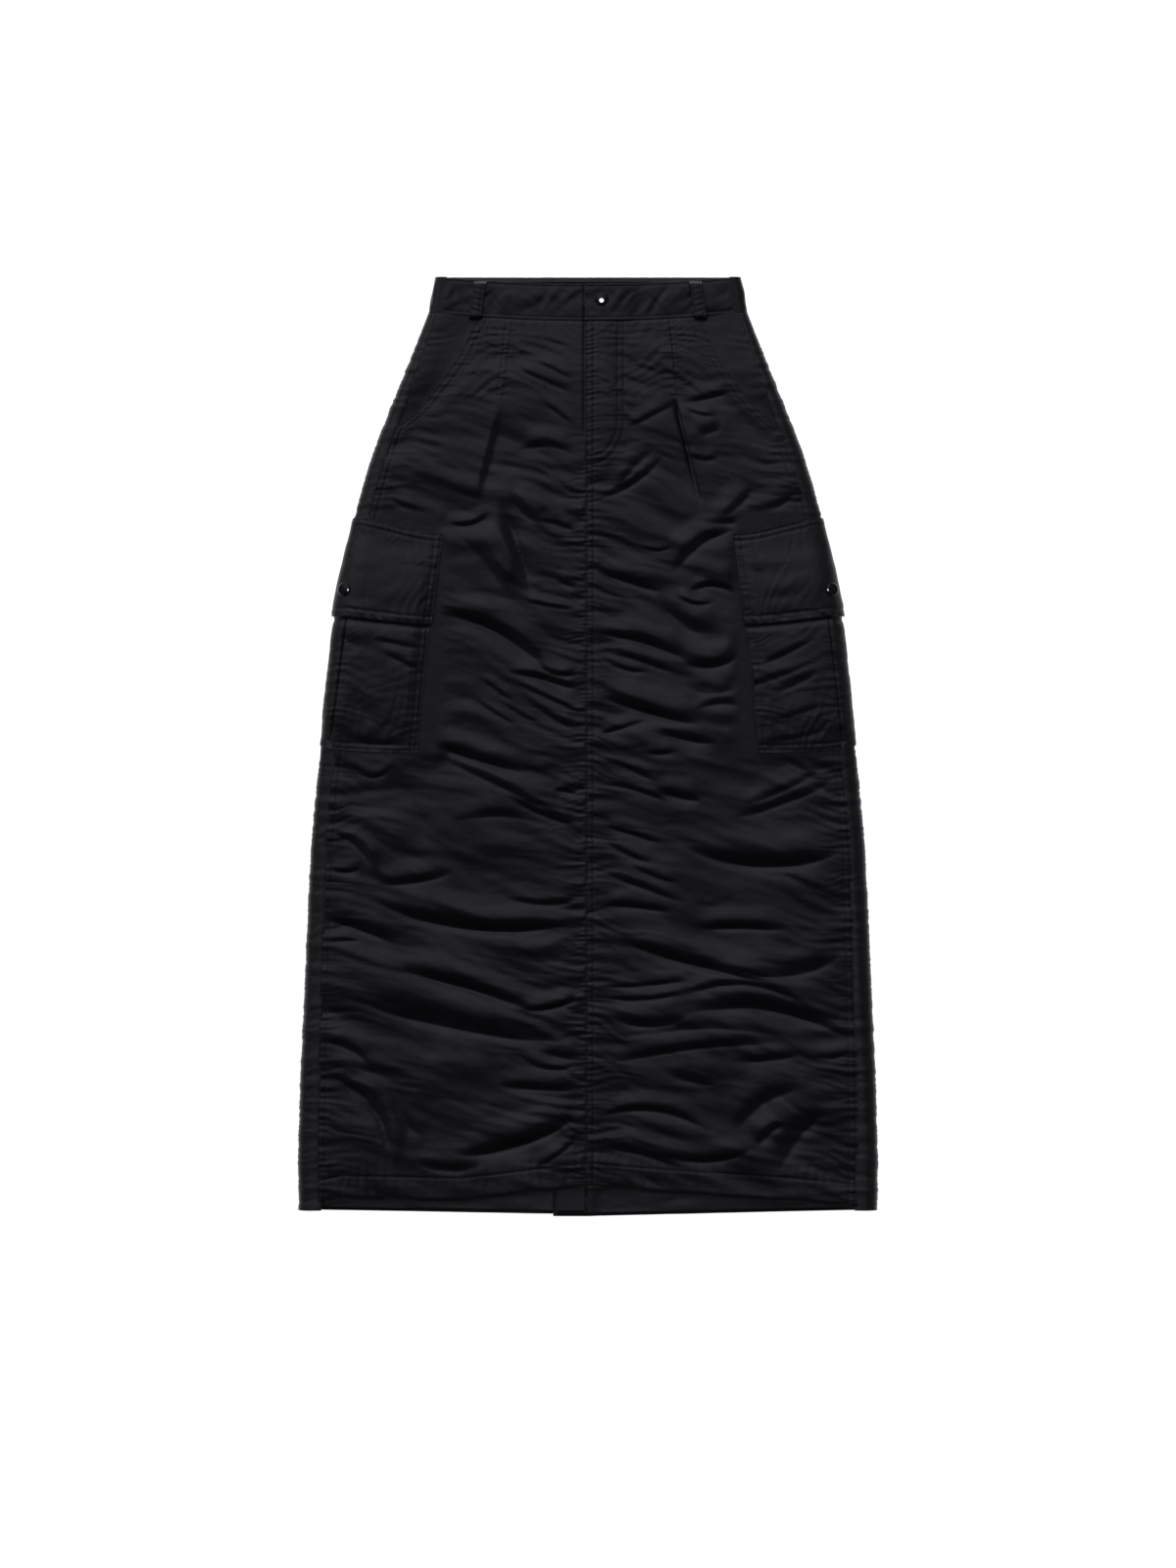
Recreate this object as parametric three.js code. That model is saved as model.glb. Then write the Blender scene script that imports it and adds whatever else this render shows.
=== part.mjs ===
// Cargo utility skirt, full length, laid flat on its back with its front up.
// Millimetres. X runs across the skirt, Y towards the waist, Z up from the surface it lies on.
// The origin is the middle of the skirt's outline on that surface.
// A drop is a distance down the skirt from the top edge of the back waistband.
// A side is 1 for the half at +X and -1 for the half at -X, and reach is the distance from
// the middle line, so a place is (side, reach, drop).
// A lift is a distance out of the cloth's outer face, negative into it.
import * as THREE from 'three';

const skirtLength = 1000;
const seamGap = 0.3;
const clothWall = 1.5;
const bandWall = 2.2;
const loopWall = 1.6;

// waistband
const bandHeight = 38;
const frontWaistDip = 7;
const frontWaistDipReach = 152;
const frontBandTopSide = 1;
const frontBandExtra = 0.8;
const flyOverlap = 20;
const flyEdge = 6;
const flyRaise = 1.9;
const flyRaiseReach = 16;
const flyRaiseEnd = 44;
const flyBottom = 165;
const middleSeam = 2;
const bandOverlap = 30;
const bandRaise = 2.55;
const bandRaiseEnd = 60;
const snapRadius = 7.5;
const snapHeight = 3;

// sides, pleats and pockets
const underTurnShare = 0.6;
const sideMiddleShare = 0.42;
const pleatTop = 126;
const pleatBottom = 252;
const pleatFade = 26;
const pleatHigh = 2.2;
const pleatLow = 2.6;
const pocketMouth = 303;
const pocketBottomFront = 506;
const pocketBottomSide = 497;
const pocketPuff = 2.7;
const pocketWell = 4;
const slantBottom = 162;
const facingUnder = 10;
const facingSink = 0.9;
const pocketSideEase = 0.6;
const underPocketLift = 3.6;
const flapTopFront = 274;
const flapTopSide = 257;
const flapBottomFront = 370;
const flapBottomSide = 361;
const flapInnerTop = 154;
const flapInnerBottom = 166;
const flapBackDip = 6;
const flapBackReach = 170;
const pocketBackReach = 196;
const flapPuff = 4.6;
const flapSideEase = 0.5;

// hem and back vent
const backHemMiddle = 998;
const backHemSide = 993;
const ventRise = 715;
const ventTop = 750;
const ventOverlap = 37;
const ventRaise = clothWall + seamGap;

// gathers along the seams, one wave to each pair of rows
const frontRows = 84;
const gatherHeight = 1.1;
const gatherReach = 42;
const mostCrest = 4;
const mostValley = 5;

const table = (names, rows) => rows.map(
  (row) => Object.fromEntries(names.map((name, index) => [name, row[index]])));

// Cross sections of the laid skirt: half its width, how far in from the edge the side seam
// lies, how wide the soft turn at the side is, and how high the front lies.
const sections = table(['drop', 'half', 'seam', 'turn', 'height'], [
  [0, 163, 10, 8, 11.5],
  [38, 170, 10, 9, 11.5],
  [60, 178.5, 11, 10, 13],
  [100, 194.5, 12, 12, 16],
  [142, 211.5, 13.5, 14, 17],
  [184, 228, 14.5, 16, 17.5],
  [226, 241, 15, 18, 18],
  [258, 249, 15, 20, 18],
  [309, 259.5, 15, 22, 18],
  [351, 267.5, 15, 22, 18],
  [393, 273, 15, 22, 18],
  [435, 277.5, 15, 22, 18],
  [503, 284.5, 15, 20, 18],
  [530, 288, 15, 19, 17.5],
  [602, 294.7, 15, 18, 17],
  [685, 299, 16.5, 17, 17],
  [769, 302.5, 18, 16, 17],
  [853, 306.5, 20, 15, 16.5],
  [940, 309, 22, 15, 16],
  [1000, 308, 22, 14, 16],
]);

// Lines drawn down the skirt, each as its reach at some drops.
const pleatLine = table(['drop', 'reach'], [[45, 84], [128, 93], [238, 120], [420, 128], [1000, 142]]);
const slantPocketLine = table(['drop', 'reach'], [
  [40, 114], [58, 124], [85, 137], [110, 154], [132, 171], [147, 185], [162, 204]]);
const frontHemLine = table(['x', 'drop'], [
  [-306, 992], [-262, 981], [-136, 984], [-2, 968], [84, 975], [209, 983], [306, 992]]);
const pocketEdgeLine = table(['drop', 'reach'], [[300, 161], [366, 168], [506, 181]]);

// Folds pressed into the front, each along a shallow curve through three places (x, drop).
// Across the curve the cloth climbs to a crest, falls over the shaded flank to a valley and
// comes level again. Flank is the width of that fall, crest and valley its height and depth.
const folds = table(['x0', 'drop0', 'x1', 'drop1', 'x2', 'drop2', 'flank', 'crest', 'valley'], [
  [-212, 233, -190, 245, -150, 260, 9, 1.5, 2.5],
  [-82, 222, -72, 240, -48, 264, 10, 1.5, 2.2],
  [-62, 345, -80, 295, -100, 235, 12, 3, 4],
  [-142, 268, -110, 290, -85, 335, 14, 2.6, 1.5],
  [-158, 353, -98, 370, -38, 418, 13, 3.2, 4.6],
  [-88, 418, -50, 424, -4, 440, 9, 2, 2.6],
  [-72, 440, -40, 464, -4, 484, 9, 1.4, 1.8],
  [-182, 486, -125, 507, -60, 527, 11, 3, 3.6],
  [-170, 503, -100, 534, -6, 582, 10, 1.5, 2],
  [-150, 578, -95, 568, -20, 590, 12, 1, 1.2],
  [-178, 612, -200, 570, -225, 535, 28, 1.5, 1.8],
  [-278, 588, -246, 600, -224, 636, 10, 2, 2.2],
  [-228, 642, -190, 640, -140, 628, 11, 1.5, 1.6],
  [-242, 652, -150, 682, -3, 680, 15, 3.6, 4.6],
  [-290, 677, -250, 686, -200, 708, 12, 2, 3],
  [-208, 730, -140, 746, -48, 778, 15, 3, 4.6],
  [-262, 756, -150, 784, -12, 806, 24, 3, 4.8],
  [-288, 810, -255, 816, -228, 840, 10, 1.5, 2],
  [-284, 844, -228, 875, -208, 950, 11, 3, 3.6],
  [-100, 857, -60, 859, -5, 863, 10, 1.5, 2.2],
  [-150, 930, -85, 920, -6, 883, 14, 3, 4],
  [-188, 936, -160, 944, -110, 940, 12, 1.5, 2],
  [10, 234, 45, 218, 80, 187, 9, 1.5, 2],
  [112, 256, 155, 257, 228, 221, 10, 2, 2.6],
  [88, 316, 112, 284, 158, 266, 11, 2.6, 3],
  [6, 311, 40, 320, 82, 335, 9, 2, 2.6],
  [76, 332, 98, 358, 132, 381, 14, 2.4, 2.8],
  [8, 376, 55, 383, 112, 408, 12, 2.6, 3.6],
  [95, 403, 130, 410, 168, 390, 11, 2.6, 3],
  [10, 395, 55, 405, 102, 423, 9, 1.5, 2],
  [6, 439, 60, 457, 124, 476, 12, 2.6, 3.6],
  [112, 459, 145, 450, 176, 461, 10, 1.5, 2],
  [60, 478, 95, 486, 140, 494, 11, 2, 3],
  [70, 543, 95, 549, 122, 556, 10, 2, 2.5],
  [150, 574, 205, 556, 264, 531, 10, 1.5, 1.6],
  [90, 595, 165, 617, 280, 603, 16, 3, 4.2],
  [14, 630, 55, 645, 106, 665, 9, 1.5, 1.8],
  [110, 690, 165, 688, 216, 692, 11, 2, 2.5],
  [26, 699, 110, 725, 218, 748, 12, 3, 3.6],
  [140, 725, 200, 735, 278, 711, 16, 2, 2.6],
  [93, 765, 150, 748, 238, 775, 10, 2, 2.5],
  [95, 779, 160, 768, 285, 808, 18, 3, 4.6],
  [10, 837, 90, 819, 218, 812, 10, 1.5, 1.6],
  [10, 891, 78, 884, 132, 909, 10, 2, 2.5],
  [66, 924, 115, 937, 180, 922, 10, 2, 2.2],
  [196, 950, 212, 912, 252, 879, 22, 2.5, 3],
]);

const nylonSatin = new THREE.MeshStandardMaterial({ color: '#18181b', roughness: 0.48, metalness: 0 });
const blackMetal = new THREE.MeshStandardMaterial({ color: '#0b0b0d', roughness: 0.2, metalness: 0.7 });

const clamp = (value, low, high) => Math.min(high, Math.max(low, value));
const mix = (from, to, share) => from + (to - from) * share;

// A soft step from 0 at one value to 1 at the other.
function ease(from, to, value) {
  const share = clamp((value - from) / (to - from), 0, 1);
  return share * share * (3 - 2 * share);
}

// The value of one column of a table where another column has a given value.
function lookUp(rows, key, value, name) {
  let index = 1;
  while (index < rows.length - 1 && rows[index][key] < value) {
    index += 1;
  }
  const before = rows[index - 1];
  const after = rows[index];
  const share = clamp((value - before[key]) / (after[key] - before[key]), 0, 1);
  return mix(before[name], after[name], share);
}

const sectionAt = (drop, name) => lookUp(sections, 'drop', drop, name);
const seamReach = (drop) => sectionAt(drop, 'half') - sectionAt(drop, 'seam');
const flatReach = (drop) => sectionAt(drop, 'half') - sectionAt(drop, 'turn');
const underFlatReach = (drop) => sectionAt(drop, 'half') - sectionAt(drop, 'turn') * underTurnShare;

// The front waist hangs lower than the back one, most of all in the middle.
const waistSag = (x) => clamp(1 - (x / frontWaistDipReach) ** 2, 0, 1);
const frontBandTop = (x) => frontBandTopSide + frontWaistDip * waistSag(x);
const frontBandBottom = (x) => bandHeight + (frontWaistDip + frontBandExtra) * waistSag(x);
const frontHem = (x) => lookUp(frontHemLine, 'x', x, 'drop');

// The back is lifted a little where a pocket and its flap lie folded under it.
const liftEdge = { inner: flapBackReach - 28, outer: flapBackReach - 3 };
const liftRows = { start: 229, full: 253, end: 508, gone: 533 };

function underLift(reach, drop) {
  const across = ease(liftEdge.inner, liftEdge.outer, reach);
  const down = ease(liftRows.start, liftRows.full, drop) * (1 - ease(liftRows.end, liftRows.gone, drop));
  return underPocketLift * across * down;
}

// The outer face of the skirt as one hoop. Round is 0 at the middle of the front, 1 where the
// side starts to turn down, 2 at the outermost point, 3 where the back lies flat and 4 at
// the middle of the back. The side is two quarter ellipses that meet at 2.
function hoopPoint(side, round, drop, lift) {
  const half = sectionAt(drop, 'half');
  const turn = sectionAt(drop, 'turn');
  const height = sectionAt(drop, 'height');
  const flat = half - turn;
  const underTurn = turn * underTurnShare;
  const underFlat = underFlatReach(drop);
  const floor = underLift(underFlat, drop);
  const middle = mix(floor, height, sideMiddleShare);
  let reach = flat * round;
  let level = height;
  let out = 0;
  let up = 1;
  if (round > 3) {
    reach = underFlat * (4 - round);
    level = underLift(reach, drop);
    up = -1;
  } else if (round > 1) {
    const angle = (2 - round) * Math.PI / 2;
    const wide = round < 2 ? turn : underTurn;
    const tall = round < 2 ? height - middle : middle - floor;
    reach = half - wide + wide * Math.cos(angle);
    level = middle + tall * Math.sin(angle);
    const steep = Math.hypot(Math.cos(angle) / wide, Math.sin(angle) / tall);
    out = Math.cos(angle) / wide / steep;
    up = Math.sin(angle) / tall / steep;
  }
  return new THREE.Vector3(side * (reach + out * lift), skirtLength / 2 - drop, level + up * lift);
}

// Round for a place on the front at a given reach.
function roundAt(reach, drop) {
  const flat = flatReach(drop);
  if (reach <= flat) {
    return reach / flat;
  }
  return 2 - Math.acos(clamp((reach - flat) / sectionAt(drop, 'turn'), 0, 1)) / (Math.PI / 2);
}

// Round for a place on the back at a given reach.
const roundUnder = (reach, drop) => 4 - reach / underFlatReach(drop);

const frontPoint = (side, reach, drop, lift) => hoopPoint(side, roundAt(reach, drop), drop, lift);

// Height of one fold at a place: a crest, a shaded flank and a valley across its curve,
// fading out over its last fifth at each end.
function foldHeight(fold, x, drop) {
  const spanX = fold.x2 - fold.x0;
  const spanDrop = fold.drop2 - fold.drop0;
  const span = Math.hypot(spanX, spanDrop);
  const local = (px, pd) => ({
    along: ((px - fold.x0) * spanX + (pd - fold.drop0) * spanDrop) / span ** 2,
    across: ((pd - fold.drop0) * spanX - (px - fold.x0) * spanDrop) / span,
  });
  const here = local(x, drop);
  if (here.along <= 0 || here.along >= 1) {
    return 0;
  }
  const bend = local(fold.x1, fold.drop1);
  const bow = bend.across / (bend.along * (1 - bend.along));
  const across = here.across - bow * here.along * (1 - here.along);
  const fade = ease(0, 0.2, Math.min(here.along, 1 - here.along));
  const halfFlank = fold.flank / 2;
  const apron = fold.flank * 1.5 + 4;
  let height = 0;
  if (across < -halfFlank) {
    height = fold.crest * ease(-halfFlank - apron, -halfFlank, across);
  } else if (across < halfFlank) {
    height = mix(fold.crest, -fold.valley, ease(-halfFlank, halfFlank, across));
  } else {
    height = -fold.valley * (1 - ease(halfFlank, halfFlank + apron, across));
  }
  return height * fade;
}

// How far inside the slanted cut of the hip pocket a place lies.
function fromSlant(reach, drop) {
  if (drop > slantBottom) {
    return drop - slantBottom + seamReach(drop) - reach;
  }
  return lookUp(slantPocketLine, 'drop', drop, 'reach') - reach;
}

// Folds fade out at the seams, at the waistband, along the slant and towards the hem.
function pressedFolds(x, reach, drop) {
  let height = 0;
  for (const fold of folds) {
    height += foldHeight(fold, x, drop);
  }
  const besideMiddle = ease(14, 34, Math.abs(x + middleSeam));
  const besideSeam = mix(0.25, 1, ease(2, 26, seamReach(drop) - reach));
  const underBand = ease(52, 84, drop);
  const aboveHem = 1 - 0.6 * ease(945, 975, drop);
  return clamp(height, -mostValley, mostCrest) * besideMiddle * besideSeam * underBand * aboveHem;
}

// Below its stitching each pleat stands open: the outer cloth lies high, the inner low.
function openPleat(reach, drop) {
  const opens = ease(pleatTop, pleatTop + pleatFade, drop);
  const closes = ease(pleatBottom - pleatFade, pleatBottom, drop);
  const outward = reach - lookUp(pleatLine, 'drop', drop, 'reach');
  const step = outward > 0 ? pleatHigh * Math.exp(-outward / 30) : -pleatLow * Math.exp(outward / 16);
  return opens * (1 - closes) * step;
}

// Small waves along the middle seam and, below the hip pocket, along the side seam.
function gathers(x, reach, drop, row) {
  const wave = (row % 2 ? 1 : -1) * gatherHeight * (1 + 0.35 * Math.sin(1.7 * row));
  const atMiddle = 1 - ease(14, gatherReach, Math.abs(x + middleSeam));
  const atSeam = 1 - ease(4, gatherReach, seamReach(drop) - reach);
  const belowSlant = ease(slantBottom + 14, slantBottom + 30, drop);
  return wave * Math.max(atMiddle, atSeam * belowSlant) * ease(50, 70, drop);
}

// The panel sinks a little inside each cargo pocket, which leaves the pocket its room.
function pocketRoom(reach, drop) {
  const across = ease(176, 194, reach) * (1 - ease(226, 246, reach));
  const down = ease(pocketMouth - 20, pocketMouth - 3, drop) * (1 - ease(478, 494, drop));
  return pocketWell * across * down;
}

// Shape of the front beside its plain level. Under a pocket and its flap it stays plain.
function frontRelief(side, reach, drop, row) {
  const x = side * reach;
  const underPocket = ease(146, 162, reach) * ease(238, 252, drop) * (1 - ease(506, 520, drop));
  const creases = (pressedFolds(x, reach, drop) * (1 - underPocket) + openPleat(reach, drop))
    * ease(6, 22, fromSlant(reach, drop));
  return creases + gathers(x, reach, drop, row) * (1 - underPocket) - pocketRoom(reach, drop);
}

// A closed wall over a grid of places. Its faces are made to point outwards, and each square
// is split along the diagonal that is more level, so that folds run on across squares.
function wall(name, material, rowCount, columnCount, pointAt) {
  const points = [];
  for (const face of [0, 1]) {
    for (let row = 0; row <= rowCount; row += 1) {
      for (let column = 0; column <= columnCount; column += 1) {
        points.push(pointAt(row, column, face));
      }
    }
  }
  const index = (face, row, column) => (face * (rowCount + 1) + row) * (columnCount + 1) + column;
  const triangles = [];
  const addSquare = (a, b, c, d, flip) => {
    if (flip) {
      triangles.push([a, b, d], [b, c, d]);
    } else {
      triangles.push([a, b, c], [a, c, d]);
    }
  };
  for (let row = 0; row < rowCount; row += 1) {
    for (let column = 0; column < columnCount; column += 1) {
      const corners = [[row, column], [row, column + 1], [row + 1, column + 1], [row + 1, column]];
      const [a, b, c, d] = corners.map(([r, k]) => points[index(0, r, k)].z);
      const flip = Math.abs(b - d) < Math.abs(a - c);
      const outer = corners.map(([r, k]) => index(0, r, k));
      const inner = corners.map(([r, k]) => index(1, r, k));
      addSquare(...outer, flip);
      addSquare(inner[0], inner[3], inner[2], inner[1], flip);
    }
  }
  const rim = [];
  for (let column = 0; column < columnCount; column += 1) {
    rim.push([0, column]);
  }
  for (let row = 0; row < rowCount; row += 1) {
    rim.push([row, columnCount]);
  }
  for (let column = columnCount; column > 0; column -= 1) {
    rim.push([rowCount, column]);
  }
  for (let row = rowCount; row > 0; row -= 1) {
    rim.push([row, 0]);
  }
  rim.forEach(([row, column], place) => {
    const [nextRow, nextColumn] = rim[(place + 1) % rim.length];
    addSquare(index(0, nextRow, nextColumn), index(0, row, column),
      index(1, row, column), index(1, nextRow, nextColumn), false);
  });
  let volume = 0;
  for (const [a, b, c] of triangles) {
    volume += points[a].dot(points[b].clone().cross(points[c]));
  }
  const order = volume > 0 ? triangles : triangles.map(([a, b, c]) => [a, c, b]);
  const geometry = new THREE.BufferGeometry().setFromPoints(points);
  geometry.setIndex(order.flat());
  geometry.computeVertexNormals();
  const mesh = new THREE.Mesh(geometry, material);
  mesh.name = name;
  return mesh;
}

const sideName = (side) => (side > 0 ? 'right' : 'left');

// Front panel from the middle to the side seam, cut along the slant of the hip pocket.
// The right panel laps over the left one at the fly, and below it they meet in a seam.
function middleEdge(side, drop) {
  if (side > 0) {
    return -mix(flyEdge, middleSeam, ease(bandHeight, 200, drop));
  }
  return mix(flyEdge - flyOverlap, middleSeam + seamGap, ease(flyBottom, flyBottom + 18, drop));
}

function outerEdge(drop) {
  const seam = seamReach(drop) - seamGap;
  const slant = lookUp(slantPocketLine, 'drop', drop, 'reach');
  return drop < slantBottom ? Math.min(slant, seam) : seam;
}

// Columns: the middle edge, some up to the pleat, two that straddle it, and some to the seam.
const innerColumns = 5;
const outerShares = [0, 0.16, 0.34, 0.52, 0.7, 0.87, 1];
const pleatEdge = 1.5;

function frontColumn(side, column, drop) {
  const pleat = lookUp(pleatLine, 'drop', drop, 'reach');
  if (column === 0) {
    return middleEdge(side, drop);
  }
  if (column <= innerColumns) {
    const start = side > 0 ? flyRaiseReach - 4 : 8;
    return mix(start, pleat - pleatEdge, (column - 1) / (innerColumns - 1));
  }
  return mix(pleat + pleatEdge, outerEdge(drop), outerShares[column - innerColumns - 1]);
}

// Rows lie unevenly, as gathers do, and follow the waist above and the hem below.
function rowShare(row) {
  const uneven = 0.22 * Math.sin(2.3 * row) * Math.sin(Math.PI * row / frontRows);
  return (row + uneven) / frontRows;
}

function frontPanel(side) {
  const columns = innerColumns + outerShares.length;
  return wall(`front_${sideName(side)}`, nylonSatin, frontRows, columns, (row, column, face) => {
    let drop = mix(bandHeight, frontHem(0), rowShare(row));
    let reach = 0;
    for (let pass = 0; pass < 6; pass += 1) {
      reach = frontColumn(side, column, drop);
      const x = side * reach;
      drop = mix(frontBandBottom(x) + seamGap, frontHem(x), rowShare(row));
    }
    const nearFly = 1 - ease(flyRaiseReach, flyRaiseEnd, reach);
    const aboveFlyEnd = 1 - ease(flyBottom + 21, flyBottom + 50, drop);
    const lap = side > 0 ? flyRaise * nearFly * aboveFlyEnd : 0;
    return frontPoint(side, reach, drop, frontRelief(side, reach, drop, row) + lap - face * clothWall);
  });
}

// Places round the side where the walls of panels, pockets, flaps and band all have a column.
const roundSteps = [4 / 3, 5 / 3, 2, 7 / 3, 8 / 3, 3];

// Back panel from the side seam, round the side and flat under the skirt to the middle seam.
// Below the vent's top the right panel laps over the left one.
const backDrops = [38.3, 60, 100, 142, 184, 229, 241, 253, 309, 351, 393, 435, 508, 520, 533,
  602, 660, ventRise, ventTop, 758, 764, 820, 880, 940, 998];
const ventCut = 760;

function backPanel(side) {
  const lastDrop = backDrops.at(-1);
  return wall(`back_${sideName(side)}`, nylonSatin, backDrops.length - 1, 13, (row, column, face) => {
    const rowDrop = backDrops[row];
    const laps = side > 0 && rowDrop > ventCut;
    const underReaches = [liftEdge.outer, liftEdge.inner, 105, 60, 18, 4, laps ? -ventOverlap : seamGap / 2];
    const place = column - 1 - roundSteps.length;
    const reach = place < 0 ? underFlatReach(rowDrop) : underReaches[place];
    const middleHem = laps ? skirtLength : backHemMiddle;
    const hem = mix(middleHem, backHemSide, clamp(reach / underFlatReach(rowDrop), 0, 1));
    const drop = mix(backDrops[0], hem, (rowDrop - backDrops[0]) / (lastDrop - backDrops[0]));
    const overVent = side > 0 && reach < 10 ? ventRaise * ease(ventRise, ventTop, rowDrop) : 0;
    let round = roundUnder(reach, drop);
    if (column === 0) {
      round = roundAt(seamReach(drop), drop);
    } else if (place < 0) {
      round = roundSteps[column - 1];
    }
    return hoopPoint(side, round, drop, -overVent - face * clothWall);
  });
}

// The piece that shows outside the slant of a hip pocket. It runs on a little under the
// front panel and comes up level with it at the side seam.
const facingDrops = [38.3, 60, 85, 110, 132, 150, 172];
const facingRise = [0, 0, 0.25, 0.7, 1];

function hipFacing(side) {
  return wall(`hip_facing_${sideName(side)}`, nylonSatin, facingDrops.length - 1, 4, (row, column, face) => {
    const rowDrop = facingDrops[row];
    const slant = Math.min(lookUp(slantPocketLine, 'drop', rowDrop, 'reach'), seamReach(rowDrop));
    const seam = seamReach(rowDrop) - seamGap;
    const reach = [slant - facingUnder, slant - 2, mix(slant, seam, 0.35), mix(slant, seam, 0.7), seam][column];
    const drop = Math.max(rowDrop, frontBandBottom(reach) + seamGap);
    const rise = facingRise[column] * (1 - ease(110, 150, drop));
    return frontPoint(side, reach, drop, -(clothWall + facingSink) * (1 - rise) - face * clothWall);
  });
}

// Waistband: one piece round the back from side seam to side seam, and two in front that
// lap over each other at the fly. The null stop is the side seam.
function backBand() {
  const halfRound = [null, ...roundSteps, 3.1, 3.4, 3.7];
  const stops = [...halfRound.map((round) => [-1, round]), [-1, 4]];
  stops.push(...halfRound.toReversed().map((round) => [1, round]));
  return wall('waistband_back', nylonSatin, 2, stops.length - 1, (row, column, face) => {
    const [side, round] = stops[column];
    const drop = bandHeight * row / 2;
    return hoopPoint(side, round ?? roundAt(seamReach(drop), drop), drop, -face * bandWall);
  });
}

function frontBand(side) {
  const start = side > 0 ? -flyEdge : flyEdge - bandOverlap;
  const shares = [0, 0.18, 0.3, 0.42, 0.58, 0.7, 0.8, 0.9, 0.95, 1];
  return wall(`waistband_front_${sideName(side)}`, nylonSatin, 2, shares.length - 1, (row, column, face) => {
    let drop = bandHeight * row / 2;
    let reach = 0;
    for (let pass = 0; pass < 4; pass += 1) {
      reach = mix(start, seamReach(drop) - seamGap, shares[column]);
      const x = side * reach;
      drop = mix(frontBandTop(x), frontBandBottom(x), row / 2);
    }
    const raise = side > 0 ? bandRaise * (1 - ease(bandOverlap - flyEdge, bandRaiseEnd, reach)) : 0;
    return frontPoint(side, reach, drop, raise - face * bandWall);
  });
}

// A belt loop is a strip sewn down at both ends that arches over the band.
const loopWidth = 12.5;
const loopTop = { reach: 114.4, drop: 5 };
const loopBottom = { reach: 120.2, drop: 45.5 };
const loopArch = 4.7;

function beltLoop(side) {
  const steps = 10;
  return wall(`belt_loop_${sideName(side)}`, nylonSatin, steps, 1, (row, column, face) => {
    const share = row / steps;
    const reach = mix(loopTop.reach, loopBottom.reach, share) + (column - 0.5) * loopWidth;
    const drop = mix(loopTop.drop, loopBottom.drop, share);
    const arch = loopArch * Math.min(ease(0.04, 0.34, share), 1 - ease(0.66, 0.96, share));
    return frontPoint(side, reach, drop, seamGap + arch + (1 - face) * loopWall);
  });
}

// Stops of a piece that wraps from the front, round the side and under the skirt: shares of
// the way across the front, places round the side, and shares of the way in under the skirt.
const wrapStops = (frontShares, underShares) => [
  ...frontShares.map((front) => ({ front })),
  ...[1, ...roundSteps].map((round) => ({ round })),
  ...underShares.map((under) => ({ under, round: 3 })),
];

function wrapRound(stop, drop, frontReach, backReach) {
  if (stop.front !== undefined) {
    return roundAt(mix(frontReach, flatReach(drop), stop.front), drop);
  }
  if (stop.under !== undefined) {
    return roundUnder(mix(underFlatReach(drop), backReach, stop.under), drop);
  }
  return stop.round;
}

const lastSideStep = roundSteps.at(-2);

// Cargo pocket from its edge on the front, round the side and under the skirt. It stands
// out from the panel in front, and it is sewn down along both edges and the bottom.
function pocketStand(stop, down) {
  const sewn = 1 - ease(0.8, 0.98, down);
  if (stop.front !== undefined) {
    return pocketPuff * ease(0, 0.2, stop.front) * sewn;
  }
  if (stop.round < lastSideStep) {
    return mix(pocketSideEase, pocketPuff, ease(2, 1, stop.round)) * sewn;
  }
  const belowFlap = ease(0.34, 0.43, down);
  return stop.under === 1 ? 0 : (underPocketLift - clothWall - seamGap) * belowFlap * sewn;
}

function cargoPocket(side) {
  const stops = wrapStops([0, 0.07, 0.2, 0.45, 0.72], [0.35, 0.8, 1]);
  const rowShares = [0, 0.08, 0.2, 0.335, 0.43, 0.62, 0.8, 0.92, 1];
  const [rows, columns] = [rowShares.length - 1, stops.length - 1];
  return wall(`pocket_${sideName(side)}`, nylonSatin, rows, columns, (row, column, face) => {
    const bottom = mix(pocketBottomFront, pocketBottomSide, ease(2, 9, column));
    const drop = mix(pocketMouth, bottom, rowShares[row]);
    const frontReach = lookUp(pocketEdgeLine, 'drop', drop, 'reach');
    const round = wrapRound(stops[column], drop, frontReach, pocketBackReach);
    const lift = seamGap + pocketStand(stops[column], rowShares[row]) + (1 - face) * clothWall;
    return hoopPoint(side, round, drop, lift);
  });
}

// Flap over the pocket's mouth, sewn along its top edge and wrapped round the side.
function flapStand(stop) {
  if (stop.front !== undefined) {
    return mix(clothWall + flapSideEase, flapPuff, ease(0, 0.2, stop.front));
  }
  if (stop.round < lastSideStep) {
    return mix(clothWall + pocketSideEase + flapSideEase, flapPuff, ease(2, 1, stop.round));
  }
  return clothWall + seamGap;
}

function pocketFlap(side) {
  const stops = wrapStops([0, 0.2, 0.6], [0.5, 1]);
  const rowShares = [0, 0.14, 0.3, 0.5, 0.8, 1];
  const [rows, columns] = [rowShares.length - 1, stops.length - 1];
  return wall(`flap_${sideName(side)}`, nylonSatin, rows, columns, (row, column, face) => {
    const down = rowShares[row];
    const wrap = ease(0, 4, column);
    const dip = flapBackDip * ease(9, 12, column);
    const top = mix(flapTopFront, flapTopSide, wrap) + dip;
    const bottom = mix(flapBottomFront, flapBottomSide, wrap) + dip;
    const drop = mix(top, bottom, down);
    const round = wrapRound(stops[column], drop, mix(flapInnerTop, flapInnerBottom, down), flapBackReach);
    const lift = seamGap + flapStand(stops[column]) * ease(0.02, 0.3, down) + (1 - face) * clothWall;
    return hoopPoint(side, round, drop, lift);
  });
}

// Domed snap cap, its flat face a gap above the cloth and turned to the cloth's own slope.
const snapEdge = 0.5;

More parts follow.
